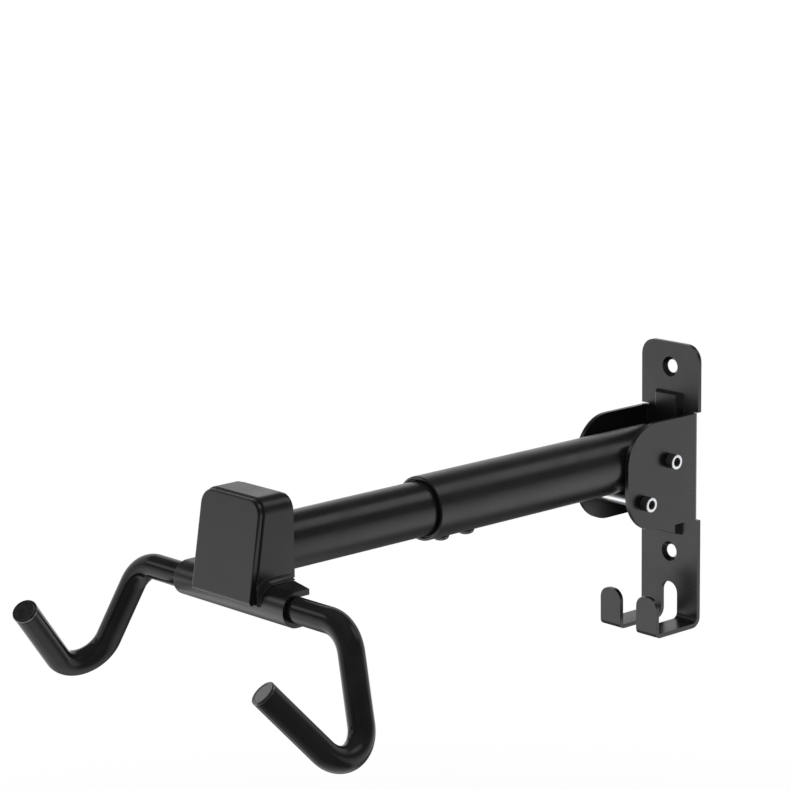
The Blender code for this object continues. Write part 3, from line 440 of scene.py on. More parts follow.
def surface(tree, shader, colour, roughness, height, depth):
    """Gives a shader its colour, its roughness and a relief of a real depth."""
    tree.links.new(colour, shader.inputs["Base Color"])
    tree.links.new(roughness, shader.inputs["Roughness"])
    relief = node(tree, "ShaderNodeBump", sockets={"Strength": 1.0, "Distance": depth, "Height": height})
    tree.links.new(relief.outputs[0], shader.inputs["Normal"])


print("material helpers ready")

# %% [markdown]
# The steel is powder coated in satin black. Its colour is nearly black and what looks grey is gloss. The
# dimples are about a millimetre across and some microns deep, edges are a touch lighter, and smudges and
# dust change the gloss from place to place.

# %% Powder coat
powder, tree, shader = new_material("powder_coat", Metallic=0.0, IOR=1.5)
skin = placed_group(tree, skin_tree, Dimples_per_metre=820.0, Grit_share=0.30)
rub = placed_group(tree, rub_tree, Width=0.7 * MM, Patchiness=0.45)
hand = placed_group(tree, hand_tree, Smudges_per_metre=24.0)
black = colour_between(tree, skin["Flecks"], (0.0028, 0.0028, 0.0030), (0.0065, 0.0065, 0.0068))
black = colour_between(tree, rub["Mask"], black, (0.022, 0.022, 0.0225))
black = colour_between(tree, value_between(tree, hand["Dust"], 0.0, 0.06), black, (0.16, 0.155, 0.15))
gloss = value_between(tree, hand["Smudges"], 0.27, 0.33)
gloss = value_between(tree, rub["Mask"], gloss, 0.24)
surface(tree, shader, black, gloss, skin["Height"], 13 * MICRON)
print("material:", powder.name)

# %% [markdown]
# The hooks are covered with a soft vinyl sleeve that doesn't mark paint. It is smoother than the coat, with
# long shallow waves from being drawn over the rod and almost no grit.

# %% Vinyl sleeve
vinyl, tree, shader = new_material("vinyl_sleeve", Metallic=0.0, IOR=1.28)
skin = placed_group(tree, skin_tree, Dimples_per_metre=180.0, Grit_share=0.03)
hand = placed_group(tree, hand_tree, Smudges_per_metre=34.0)
tint = colour_between(tree, hand["Smudges"], (0.0055, 0.0055, 0.0058), (0.0075, 0.0075, 0.0079))
tint = colour_between(tree, value_between(tree, hand["Dust"], 0.0, 0.05), tint, (0.12, 0.12, 0.115))
gloss = value_between(tree, hand["Smudges"], 0.09, 0.14)
surface(tree, shader, tint, gloss, skin["Height"], 12 * MICRON)
print("material:", vinyl.name)

# %% [markdown]
# The caps on the hooks' tips are moulded from the same vinyl in a polished tool, so their flat ends are
# smoother and mirror the light sides of the room. Only faint scuffs and moulding ripples break the gloss.

# %% Moulded cap
cap_vinyl, tree, shader = new_material("moulded_cap", Metallic=0.0, IOR=1.75)
skin = placed_group(tree, skin_tree, Dimples_per_metre=420.0, Grit_share=0.25)
hand = placed_group(tree, hand_tree, Smudges_per_metre=160.0)
tint = colour_between(tree, hand["Smudges"], (0.0045, 0.0045, 0.0048), (0.0100, 0.0100, 0.0104))
gloss = value_between(tree, hand["Smudges"], 0.14, 0.24)
surface(tree, shader, tint, gloss, skin["Height"], 8 * MICRON)
print("material:", cap_vinyl.name)

# %% [markdown]
# The bushes and the glide are moulded nylon: a dull black with a fine even grain from the mould. The skin
# group serves here too, because the grain differs from the coat's only in size and share.

# %% Black nylon
nylon, tree, shader = new_material("black_nylon", Metallic=0.0, IOR=1.53)
skin = placed_group(tree, skin_tree, Dimples_per_metre=1600.0, Grit_share=0.55)
tint = colour_between(tree, skin["Flecks"], (0.010, 0.010, 0.0105), (0.022, 0.022, 0.022))
surface(tree, shader, tint, value_between(tree, skin["Flecks"], 0.48, 0.60), skin["Height"], 20 * MICRON)
print("material:", nylon.name)

# %% [markdown]
# The sleeve nuts and the bar inside the arm are zinc plated. Clear zinc is a bright metal with a faint blue
# and yellow cast that drifts over the surface, and the turning marks below it still show. The rings lie
# about each piece's own axis, so each piece gets a zinc of its own.


# %% Bright zinc
def zinc_material(name, centre, axis):
    """Bright zinc whose turning rings run about a centre and an axis."""
    material, tree, shader = new_material(name, Metallic=1.0)
    rings = placed_group(tree, ring_tree, Centre=centre, Axis=axis, Rings_per_metre=8000.0)
    rub = placed_group(tree, rub_tree, Width=0.6 * MM, Patchiness=0.3)
    hand = placed_group(tree, hand_tree, Smudges_per_metre=120.0)
    cast = colour_between(tree, hand["Smudges"], (0.58, 0.60, 0.63), (0.66, 0.65, 0.62))
    cast = colour_between(tree, rub["Mask"], cast, (0.80, 0.80, 0.80))
    surface(tree, shader, cast, value_between(tree, hand["Smudges"], 0.20, 0.31), rings["Height"], 4 * MICRON)
    return material


print("zinc is made for each turned piece, with its own centre")

# %% [markdown]
# The screws are blackened steel. The oxide is thin: faces stay dark and slightly oily, and edges rub through
# to bare metal. On the cap screws the flat end round the socket was ground after blackening and is bright.


# %% Black oxide
def oxide_material(name, centre, axis):
    """Blackened steel whose turning rings run about a centre and an axis."""
    material, tree, shader = new_material(name, Metallic=0.85)
    rings = placed_group(tree, ring_tree, Centre=centre, Axis=axis, Rings_per_metre=7000.0)
    rub = placed_group(tree, rub_tree, Width=0.5 * MM, Patchiness=0.6)
    hand = placed_group(tree, hand_tree, Smudges_per_metre=150.0)
    dark = colour_between(tree, hand["Smudges"], (0.060, 0.060, 0.063), (0.110, 0.108, 0.110))
    dark = colour_between(tree, rub["Mask"], dark, (0.34, 0.34, 0.35))
    surface(tree, shader, dark, value_between(tree, hand["Smudges"], 0.18, 0.28), rings["Height"], 3 * MICRON)
    return material


print("oxide is made for each screw, with its own centre")

# %% [markdown]
# The undersides of the tubes and hooks mirror the floor. There it glows with painted light: bright on the far
# sides and dim towards the camera, where the studio's own darkness begins. A painted shadow lies under the
# arm, and a painted pool of light under the head, which the hooks mirror.

# %% What the floor looks like in reflections
FLOOR_LIGHT_LEFT = 1.70
FLOOR_LIGHT_RIGHT = 1.40
FLOOR_DIM = 0.18
TOWARDS_CAMERA = (0.669, 0.743, 0.0)
DIM_SIDE_EDGE = (0.14, 0.46)
TO_THE_RIGHT = (-0.743, 0.669, 0.0)
RIGHT_EDGE = (-0.8, 0.8)
PAINTED_SHADOW_PLACE = (-0.424, -0.291, 0.0)
PAINTED_SHADOW_REACH = (0.40, 0.85)
PAINTED_LIGHT_SPOT = (0.08, 0.08, 0.0)
SPOT_REACH = (0.05, 0.50)
SPOT_LIGHT = 1.35

white_floor, tree, shader = new_material("floor_white", Roughness=0.9, Metallic=0.0)
floor_place = node(tree, "ShaderNodeTexCoord").outputs["Object"]
way_out = vector_maths(tree, "NORMALIZE", floor_place)
camera_side = vector_maths(tree, "DOT_PRODUCT", way_out, TOWARDS_CAMERA)
right_side = vector_maths(tree, "DOT_PRODUCT", way_out, TO_THE_RIGHT)
# Painted shadow under the arm and painted pool of light under the head, in the floor's reflected glow.
from_painted_shadow = vector_maths(tree, "DISTANCE", floor_place, PAINTED_SHADOW_PLACE)
from_painted_light_spot = vector_maths(tree, "DISTANCE", floor_place, PAINTED_LIGHT_SPOT)
lit = maths(tree, "MULTIPLY", ramp(tree, camera_side, *DIM_SIDE_EDGE, 1.0, 0.0),
            ramp(tree, from_painted_shadow, *PAINTED_SHADOW_REACH))
lit_level = ramp(tree, right_side, *RIGHT_EDGE, FLOOR_LIGHT_LEFT, FLOOR_LIGHT_RIGHT)
spot_level = ramp(tree, from_painted_light_spot, *SPOT_REACH, SPOT_LIGHT, FLOOR_DIM)
mirror_light = value_between(tree, lit, spot_level, lit_level)
print("floor in reflections:", FLOOR_DIM, "to", FLOOR_LIGHT_LEFT)

# %% [markdown]
# To the camera the floor is a matt white that takes the shadow near the object and glows plain white far
# from it. Seen from below it is clear, like a sheet of glass, so that the mount can be looked at from
# underneath too.

# %% Floor material
FADE_OUT = (0.35, 1.1)
MOTTLES_PER_METRE = 3.0

mottle = noise(tree, floor_place, MOTTLES_PER_METRE)
tree.links.new(colour_between(tree, mottle, (0.86, 0.86, 0.86), (0.88, 0.88, 0.88)),
               shader.inputs["Base Color"])
in_view, in_mirror = who_looks(tree)
far = ramp(tree, vector_maths(tree, "LENGTH", floor_place), *FADE_OUT)
glows = maths(tree, "MAXIMUM", maths(tree, "MULTIPLY", far, in_view), in_mirror)
glow = node(tree, "ShaderNodeEmission", sockets={
    "Color": (1, 1, 1, 1), "Strength": value_between(tree, in_mirror, 1.0, mirror_light)})
from_above = node(tree, "ShaderNodeMixShader", sockets={0: glows, 1: shader.outputs[0], 2: glow.outputs[0]})
clear = node(tree, "ShaderNodeBsdfTransparent")
both_sides = node(tree, "ShaderNodeMixShader", sockets={
    0: node(tree, "ShaderNodeNewGeometry").outputs["Backfacing"], 1: from_above.outputs[0],
    2: clear.outputs[0]})
tree.links.new(both_sides.outputs[0], tree.nodes["Material Output"].inputs["Surface"])
floor.data.materials.append(white_floor)
print("material:", white_floor.name)

# %% [markdown]
# Every outline and every path starts as a few corners with a radius at each, as on a drawing. Blender's
# Bevel modifier can round the corners of a flat outline too, but here the points are needed before there is
# any mesh, so an arc is worked out for each corner.


# %% Rounded corners
def rounded(corners, closed=False, steps=6):
    """Points of a line through corners (point, radius), each corner rounded by its radius."""
    points = []
    count = len(corners)
    for i, (corner, radius) in enumerate(corners):
        corner = Vector(corner)
        if not radius or (not closed and i in (0, count - 1)):
            points.append(corner)
            continue
        back = (Vector(corners[i - 1][0]) - corner).normalized()
        ahead = (Vector(corners[(i + 1) % count][0]) - corner).normalized()
        half = back.angle(ahead) / 2
        middle = (back + ahead).normalized()
        centre = corner + middle * radius / math.sin(half)
        across = (ahead - back).normalized()
        half_turn = math.pi / 2 - half
        for step in range(steps + 1):
            angle = half_turn * (2 * step / steps - 1)
            points.append(centre - middle * radius * math.cos(angle) + across * radius * math.sin(angle))
    return points


def arc(centre, radius, start, end, steps=24):
    """Points on an arc in a plane, from one angle to another in degrees."""
    turn = [math.radians(start + (end - start) * i / steps) for i in range(steps + 1)]
    return [(centre[0] + radius * math.cos(t), centre[1] + radius * math.sin(t)) for t in turn]


square = [((0, 0), 0.1), ((1, 0), 0.1), ((1, 1), 0.1), ((0, 1), 0.1)]
print("a square with round corners has", len(rounded(square, closed=True)), "points")

# %% [markdown]
# New meshes are worked on as a bmesh, in which points and faces are added one by one. Once done, its faces
# are turned outward and shaded smooth. Smooth shading alone would blur every corner, so edges over a limit
# stay sharp to the eye.

# %% From bmesh to object
SMOOTH_BELOW = math.radians(40)


def finish_mesh(name, shape):
    """A bmesh turned into an object, with its faces outward and its soft edges smooth."""
    bmesh.ops.recalc_face_normals(shape, faces=shape.faces)
    mesh = bpy.data.meshes.new(name)
    shape.to_mesh(mesh)
    shape.free()
    mesh.shade_smooth()
    mesh.set_sharp_from_angle(angle=SMOOTH_BELOW)
    piece = bpy.data.objects.new(name, mesh)
    bpy.context.scene.collection.objects.link(piece)
    return piece


print("edges over", round(math.degrees(SMOOTH_BELOW)), "degrees stay sharp")

# %% [markdown]
# A hook's surface follows a bent line. At each place on it the way ahead is needed, and two directions across
# it, which must turn with the line and not spin about it, or the mesh would be wrung like a cloth. So each
# new sideways direction is the last one, turned just as the line turns.


# %% Along a path
def path_frames(path):
    """For each point of a path: its distance along, its place, the way ahead and a sideways direction."""
    legs = [(b - a).normalized() for a, b in zip(path, path[1:])]
    ways = [legs[0]] + [(a + b).normalized() for a, b in zip(legs, legs[1:])] + [legs[-1]]
    side = ways[0].orthogonal().normalized()
    along = 0.0
    frames = []
    for i, (point, way) in enumerate(zip(path, ways)):
        if i:
            along += (point - path[i - 1]).length
            side = ways[i - 1].rotation_difference(way) @ side
        frames.append((along, point, way, side))
    return frames


def frame_at(frames, along):
    """The place and the two cross directions at a distance along a path, also beyond its ends."""
    i = 0
    while i < len(frames) - 2 and frames[i + 1][0] < along:
        i += 1
    (start, a, way_a, side_a), (end, b, way_b, side_b) = frames[i], frames[i + 1]
    share = (along - start) / (end - start)
    place = a.lerp(b, share)
    share = min(max(share, 0.0), 1.0)
    way = way_a.lerp(way_b, share).normalized()
    side = side_a.lerp(side_b, share)
    side = (side - way * side.dot(way)).normalized()
    return place, side, way.cross(side)


arch = path_frames([Vector((math.cos(turn), math.sin(turn), 0)) for turn in (0, 0.5, 1, 1.5, 2, 2.5, 3)])
print("an arch of 1 m radius and 3 radians is", round(arch[-1][0], 2), "m long")

# %% [markdown]
# Almost every round part of this mount is one thing: a ring that grows and shrinks while it moves along a
# line. For a screw or a tube the line is straight, and for a hook it bends. So one helper makes them all. It
# takes a profile of (radius, distance along) and a path, and lays a ring of points at every step. Blender's
# Screw modifier would do for the straight ones only, and a curve with a bevel can't change its radius so
# freely.

# %% Turned forms
NEXT_TO_NOTHING = 1e-6


def profile_stops(corners, frames):
    """The profile's corners with a stop added wherever the path has a point between two of them."""
    stops = [tuple(corners[0])]
    for (r0, s0), (r1, s1) in zip(corners, corners[1:]):
        low, high = min(s0, s1) + NEXT_TO_NOTHING, max(s0, s1) - NEXT_TO_NOTHING
        knots = [f[0] for f in frames[1:-1] if low < f[0] < high]
        for s in knots if s1 > s0 else reversed(knots):
            stops.append((r0 + (r1 - r0) * (s - s0) / (s1 - s0), s))
        stops.append((r1, s1))
    return stops


def turned(name, profile, path, steps=96, closed=False):
    """A profile of (radius, distance along) turned about a straight or bent path."""
    frames = path_frames([Vector(point) for point in path])
    stops = profile_stops(list(profile) + ([profile[0]] if closed else []), frames)
    if closed:
        stops.pop()
    shape = bmesh.new()
    rows = []
    for radius, along in stops:
        place, side, up = frame_at(frames, along)
        count = steps if radius > NEXT_TO_NOTHING else 1
        turn = [2 * math.pi * k / count for k in range(count)]
        rows.append([shape.verts.new(place + (side * math.cos(t) + up * math.sin(t)) * radius) for t in turn])
    for a, b in zip(rows, rows[1:] + (rows[:1] if closed else [])):
        for k in range(steps):
            ring = [a[k % len(a)], a[(k + 1) % len(a)], b[(k + 1) % len(b)], b[k % len(b)]]
            shape.faces.new(list(dict.fromkeys(ring)))
    return finish_mesh(name, shape)


def ring_profile(inside, outside, start, end, ease):
    """The section of a short tube with all four edges eased."""
    return rounded([((inside, start), ease), ((outside, start), ease), ((outside, end), ease),
                    ((inside, end), ease)], closed=True, steps=4)


print("turned forms ready")

# %% [markdown]
# Holes, sockets and the arm's rounded rear are cut with Booleans, as in a workshop. The cutter is removed
# once its work is done, so the cut becomes part of the mesh. A cut can leave slivers too thin to see, which
# would open the mesh when it is saved, so its points are welded afterwards.

# %% Cutting
WELD = 2e-6
OVERSHOOT = 2 * MM


def slab(name, outline, axis, low, high):
    """A flat outline given thickness along X, Y or Z; it is in (y, z), (x, z) or (x, y)."""
    shape = bmesh.new()
    ends = []
    for level in (low, high):
        place = {"X": lambda p: (level, p[0], p[1]), "Y": lambda p: (p[0], level, p[1]),
                 "Z": lambda p: (p[0], p[1], level)}[axis]
        ends.append([shape.verts.new(place(point)) for point in outline])
    for i in range(len(outline)):
        shape.faces.new((ends[0][i - 1], ends[0][i], ends[1][i], ends[1][i - 1]))
    shape.faces.new(ends[0])
    shape.faces.new(ends[1])
    return finish_mesh(name, shape)


def carve(piece, cutter, how="DIFFERENCE"):
    """Cuts one object with another for good, or keeps only what both share."""
    modifier = piece.modifiers.new("carve", "BOOLEAN")
    modifier.object = cutter
    modifier.operation = how
    modifier.solver = "EXACT"
    bpy.context.view_layer.update()
    done = bpy.data.meshes.new_from_object(piece.evaluated_get(bpy.context.evaluated_depsgraph_get()))
    piece.modifiers.clear()
    old = piece.data
    piece.data = done
    bpy.data.meshes.remove(old)
    bpy.data.objects.remove(cutter, do_unlink=True)
    shape = bmesh.new()
    shape.from_mesh(done)
    bmesh.ops.remove_doubles(shape, verts=shape.verts, dist=WELD)
    bmesh.ops.dissolve_degenerate(shape, edges=shape.edges, dist=WELD)
    shape.to_mesh(done)
    shape.free()
    done.shade_smooth()
    done.set_sharp_from_angle(angle=SMOOTH_BELOW)


print("cutting tools ready")

# %% [markdown]
# A piece made here takes the place of a solid: it moves with the same body and hides the solid from view.
# Flat faces stay flat to the eye when large faces decide the normals of their rounded edges, which the
# Weighted Normal modifier does.

# %% Dressing
LARGE_FACE_WEIGHT = 60


def dress(piece, solid, slot, *materials):
    """Puts a piece in the place of a solid, with its materials."""
    piece.data.materials.clear()
    for material in materials:
        piece.data.materials.append(material)
    weigh = piece.modifiers.new("flat_faces_stay_flat", "WEIGHTED_NORMAL")
    weigh.keep_sharp = True
    weigh.weight = LARGE_FACE_WEIGHT
    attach(piece, frame["nodes"][solid]["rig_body"])
    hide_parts(solid)
    low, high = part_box(solid)
    corners = [piece.matrix_world @ v.co for v in piece.data.vertices]
    beyond = max(max(low[i] - min(c[i] for c in corners), max(c[i] for c in corners) - high[i])
                 for i in range(3))
    print(f"{piece.name}: {len(piece.data.polygons)} faces, {beyond / MM:.2f} mm past its solid")


# %% [markdown]
# The bracket and the head are bent from sheet. Their solids already have every bend and hole, but with edges
# as sharp as a knife. Real sheet is pressed and tumbled, and powder rounds it more. So a copy of the solid is
# cleaned of the triangles inside its flat faces, and then each sharp edge gets a small round of its own. A
# Bevel modifier would treat all edges alike. Done in mesh code, chosen edges can first get a wider round.

# %% Softened copies
FLAT_WITHIN = math.radians(0.2)
SHARP_FROM = math.radians(32)
SLIVER = 1e-6
EASE_PARTS = 3
WIDE_PARTS = 6


def ease_edges(shape, chosen, reach, parts, clamp):
    """Rounds the chosen ones of a shape's sharp edges."""
    sharp = [e for e in shape.edges if e.calc_face_angle(0) > SHARP_FROM and chosen(e)]
    bmesh.ops.bevel(shape, geom=sharp, offset=reach, segments=parts, profile=0.5, affect="EDGES",
                    clamp_overlap=clamp, loop_slide=True)
    bmesh.ops.dissolve_degenerate(shape, edges=shape.edges, dist=SLIVER)


def softened(name, solid, ease, wide=None):
    """A copy of a solid with its sharp edges eased, after a wide round on some: (which edges, reach)."""
    shape = bmesh.new()
    shape.from_mesh(frame["nodes"][solid].data)
    bmesh.ops.remove_doubles(shape, verts=shape.verts, dist=WELD)
    bmesh.ops.dissolve_limit(shape, angle_limit=FLAT_WITHIN, verts=shape.verts, edges=shape.edges)
    bmesh.ops.recalc_face_normals(shape, faces=shape.faces)
    if wide:
        ease_edges(shape, *wide, parts=WIDE_PARTS, clamp=False)
    ease_edges(shape, lambda edge: True, ease, parts=EASE_PARTS, clamp=True)
    return finish_mesh(name, shape)


print("sheet edges over", round(math.degrees(SHARP_FROM)), "degrees are eased")

# %% [markdown]
# The wall bracket is one pressed sheet: a plate with a raised rib, two ears bent forward, a slot, and two
# small hooks at its foot for a helmet or a lock. Bent again here it could only drift from the holes that the
# screws go through, so it is a softened copy. Its edges are thick with powder, and their round is wide.

# %% Wall bracket
BRACKET_EASE = 0.6 * MM


def sheet_piece(name, solid, ease, wide=None):
    """A softened copy of a solid, powder coated and in its place."""
    dress(softened(name, solid, ease, wide), solid, "powder_coat", powder)


sheet_piece("bracket_sheet", "wall_bracket", BRACKET_EASE)

# %% [markdown]
# The head is a box of sheet: a flat plate at the rear, a strip bent over the top and down both sides, and a
# raked front plate welded to the channel that holds the rod. Where strip and plate meet, each curves away
# from the other, so a dark groove runs round the front. Those two edges get a wider round than the rest.

# %% Head and keeper bar
HEAD_MIDDLE_HEIGHT = 85 * MM
CHANNEL_TOP = 61 * MM
FACES_FRONT, FACES_ASIDE = 0.9, 0.4
RAKED_FRONT, RAKED_UP = 0.97, 0.15
STRIP_EASE, STRIP_FRONT = 0.3 * MM, 0.9 * MM
PLATE_EASE, PLATE_FRONT = 0.4 * MM, 1.2 * MM
BAR_EASE = 0.5 * MM


def strip_front_edge(edge):
    """Whether an edge runs round the outside of the strip where it meets the front plate."""
    normals = [face.normal for face in edge.link_faces]
    middle = (edge.verts[0].co + edge.verts[1].co) / 2
    outward = Vector((0, middle.y, middle.z - HEAD_MIDDLE_HEIGHT))
    outer_side = any(abs(n.x) < FACES_ASIDE and n.dot(outward) > 0 for n in normals)
    return outer_side and max(n.x for n in normals) > FACES_FRONT


def plate_front_edge(edge):
    """Whether an edge runs round the raked front face of the head, above the channel."""
    raked = any(face.normal.x > RAKED_FRONT and face.normal.z > RAKED_UP for face in edge.link_faces)
    low, high = sorted(v.co.z for v in edge.verts)
    return raked and low > CHANNEL_TOP and high > CHANNEL_TOP + MM


sheet_piece("head_strip", "head_band", STRIP_EASE, (strip_front_edge, STRIP_FRONT))
sheet_piece("head_rear_plate", "head_back_plate", PLATE_EASE)
sheet_piece("head_front_and_channel", "front_bracket", PLATE_EASE, (plate_front_edge, PLATE_FRONT))
sheet_piece("keeper_bar", "rod_keeper_bar", BAR_EASE)

# %% [markdown]
# The arm is two steel tubes, one inside the other. The outer one turns on a bush between the bracket's ears,
# and its rear is cut round about that bush so that it clears the plate when it folds up. Its open end is
# rolled smooth, and two holes in its underside take the clamp screws.

# %% Outer tube
PIVOT = Vector((28.4 * MM, 0, 84 * MM))
OUTER = 20.4 * MM
INNER = 17.4 * MM
WALL = 1.5 * MM
MOUTH = 230 * MM
MOUTH_ROUNDS = (0.7 * MM, 0.5 * MM)
MOUTH_LIP = 0.8 * MM
REAR_TURN = 100.0
BUSH_HOLE = 7.1 * MM
CLAMPS = (191 * MM, 212.5 * MM)
CLAMP_HOLE = 3.3 * MM
TUBE_STEPS = 160


def along_arm(start, end):
    """A straight path on the arm's middle line."""
    return [(start, 0, PIVOT.z), (end, 0, PIVOT.z)]


def crosswise(centre, start, end):
    """A straight path from left to right through a centre."""
    return [(centre.x, start, centre.z), (centre.x, end, centre.z)]


def plug(radius, length):
    """The profile of a plain cylinder that cuts a hole."""
    return [(0, 0), (radius, 0), (radius, length), (0, length)]


beyond = OUTER + OVERSHOOT
rear_start = PIVOT.x - OUTER - OVERSHOOT
tube_length = MOUTH - rear_start
tube_section = rounded([((OUTER - WALL, 0), 0), ((OUTER, 0), 0), ((OUTER, tube_length), MOUTH_ROUNDS[0]),
                        ((OUTER - WALL, tube_length), MOUTH_ROUNDS[1])], steps=6)
tube_section.append((OUTER - WALL, tube_length - MOUTH_LIP))
outer = turned("outer_arm_tube", tube_section, along_arm(rear_start, MOUTH), TUBE_STEPS, closed=True)
last = math.radians(REAR_TURN)
run = OUTER * math.cos(last) - (beyond - OUTER * math.sin(last)) * math.tan(last)
side_view = arc((PIVOT.x, PIVOT.z), OUTER, REAR_TURN, 360 - REAR_TURN, steps=72)
side_view += [(PIVOT.x + run, PIVOT.z - beyond), (MOUTH + OVERSHOOT, PIVOT.z - beyond),
              (MOUTH + OVERSHOOT, PIVOT.z + beyond), (PIVOT.x + run, PIVOT.z + beyond)]
carve(outer, slab("rear_shape", side_view, "Y", -beyond, beyond), "INTERSECT")
carve(outer, turned("bush_hole", plug(BUSH_HOLE, 2 * beyond), crosswise(PIVOT, -beyond, beyond)))
for x in CLAMPS:
    clamp_line = [(x, 0, PIVOT.z - beyond), (x, 0, PIVOT.z)]
    carve(outer, turned("clamp_hole", plug(CLAMP_HOLE, beyond), clamp_line, steps=48))
dress(outer, "outer_tube", "powder_coat", powder)

# %% [markdown]
# The inner tube slides in the outer one. A slot in its hidden underside lets it pass the clamp screws, and
# the slot's ends are what stops it. One long slab with round ends cuts it, as a milling tool would.

# %% Inner tube
SLIDE_OUT = 80 * MM
SLIDE_IN = 10 * MM
HALF_SLOT = 3.4 * MM

low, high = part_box("inner_tube")
inner_section = ring_profile(INNER - WALL, INNER, 0, high.x - low.x, 0.3 * MM)
inner = turned("inner_arm_tube", inner_section, along_arm(low.x, high.x), TUBE_STEPS, closed=True)
slot_view = arc((CLAMPS[0] - SLIDE_OUT, 0), HALF_SLOT, 90, 270)
slot_view += arc((CLAMPS[1] + SLIDE_IN, 0), HALF_SLOT, -90, 90)
carve(inner, slab("clamp_slot", slot_view, "Z", PIVOT.z - beyond, PIVOT.z))
dress(inner, "inner_tube", "powder_coat", powder)

# %% [markdown]
# Three nylon pieces let the steel move without rattling: the ring in the outer tube's mouth, the glide on
# the inner tube's rear end, and the long bush that turns on the pivot. Each is its own section, turned, with
# every edge eased as a mould leaves it.

# %% Nylon pieces
GAP = 0.1 * MM
NYLON_STEPS = 128
GLIDE_INSIDE, GLIDE_OUTSIDE, GLIDE_BORE = 14.4 * MM, 18.8 * MM, 17.5 * MM
GLIDE_LENGTH, GLIDE_LIP = 15 * MM, 2.4 * MM
BUSH_INSIDE, BUSH_OUTSIDE = 4.1 * MM, 7 * MM

low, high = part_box("mouth_guide_bush")
guide_section = ring_profile(INNER + GAP, OUTER - WALL - GAP, 0, high.x - low.x, 0.35 * MM)
guide = turned("mouth_ring", guide_section, along_arm(low.x, high.x), NYLON_STEPS, closed=True)
dress(guide, "mouth_guide_bush", "black_nylon", nylon)

low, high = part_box("inner_tube_glide")
glide_section = [(GLIDE_INSIDE, 0), (GLIDE_OUTSIDE, 0), (GLIDE_OUTSIDE, GLIDE_LENGTH),
                 (GLIDE_BORE, GLIDE_LENGTH), (GLIDE_BORE, GLIDE_LIP), (GLIDE_INSIDE, GLIDE_LIP)]
glide_section = rounded([(p, 0.3 * MM) for p in glide_section], closed=True, steps=3)
glide = turned("rear_glide", glide_section, along_arm(low.x, high.x), NYLON_STEPS, closed=True)
dress(glide, "inner_tube_glide", "black_nylon", nylon)

low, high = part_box("pivot_bush")
bush_section = ring_profile(BUSH_INSIDE, BUSH_OUTSIDE, 0, high.y - low.y, 0.4 * MM)
bush = turned("pivot_turning_bush", bush_section, crosswise(PIVOT, low.y, high.y), closed=True)
dress(bush, "pivot_bush", "black_nylon", nylon)

# %% [markdown]
# A pivot and a stop cross the ears, and the arm rests on the stop when it is down. Each begins as a sleeve
# nut with a flat bright head on the left and a long bore for a screw.

# %% Sleeve nuts
STOP = Vector((52.4 * MM, 0, 59.3 * MM))
NUT_HEAD, NUT_HEAD_DEPTH = 6.6 * MM, 2.2 * MM
BARREL = 4 * MM
NUT_BORE, NUT_BORE_DEPTH = 3.1 * MM, 26 * MM


def sleeve_nut(name, solid, centre):
    """A bright barrel through both ears, with a wide flat head and a bore for the screw."""
    low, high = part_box(solid)
    length = high.y - low.y
    bore_end = length - NUT_BORE_DEPTH
    profile = rounded([((0, 0), 0), ((NUT_HEAD, 0), 0.6 * MM), ((NUT_HEAD, NUT_HEAD_DEPTH), 0.25 * MM),
                       ((BARREL, NUT_HEAD_DEPTH), 0), ((BARREL, length), 0.3 * MM),
                       ((NUT_BORE, length), 0.2 * MM), ((NUT_BORE, bore_end), 0),
                       ((0, bore_end), 0)], steps=5)
    piece = turned(name, profile, crosswise(centre, low.y, high.y))
    zinc = zinc_material(name + "_zinc", (centre.x, 0, centre.z), (0, 1, 0))
    dress(piece, solid, "bright_zinc", zinc)


sleeve_nut("pivot_barrel", "pivot_sleeve_nut", PIVOT)
sleeve_nut("stop_barrel", "stop_sleeve_nut", STOP)

# %% [markdown]
# A cap screw goes into each nut from the right. Its head is a straight cylinder with a hexagonal socket that
# opens in a shallow cone. The ring round the socket is ground bright. The socket's floor gets the same bright
# metal as a painted reflection. Both are part of the same mesh as the black head, and their faces get the
# second material.

# %% Cap screws
SHANK = 3 * MM
CAP_HEAD, CAP_HEAD_DEPTH = 5 * MM, 6 * MM
MOUTH_RADIUS, MOUTH_FOOT, MOUTH_DEPTH = 3.1 * MM, 2.1 * MM, 1 * MM
PAST_END = 0.2 * MM
SOCKET_WIDTH, SOCKET_DEPTH = 5 * MM, 3 * MM
BROACH_ROUND = 0.12
GROUND_DEPTH = 0.3 * MM
SOCKET_FLOOR = 2 * MM
CLOSE = 0.05 * MM


def hexagon(across, turn):
    """The corners of a hexagon, each a little rounded, as a small broach leaves it."""
    reach = across / math.sqrt(3)
    corners = [(reach * math.cos(math.radians(60 * k + turn)), reach * math.sin(math.radians(60 * k + turn)))
               for k in range(6)]
    return [tuple(p) for p in rounded([(c, BROACH_ROUND * across) for c in corners], closed=True, steps=3)]


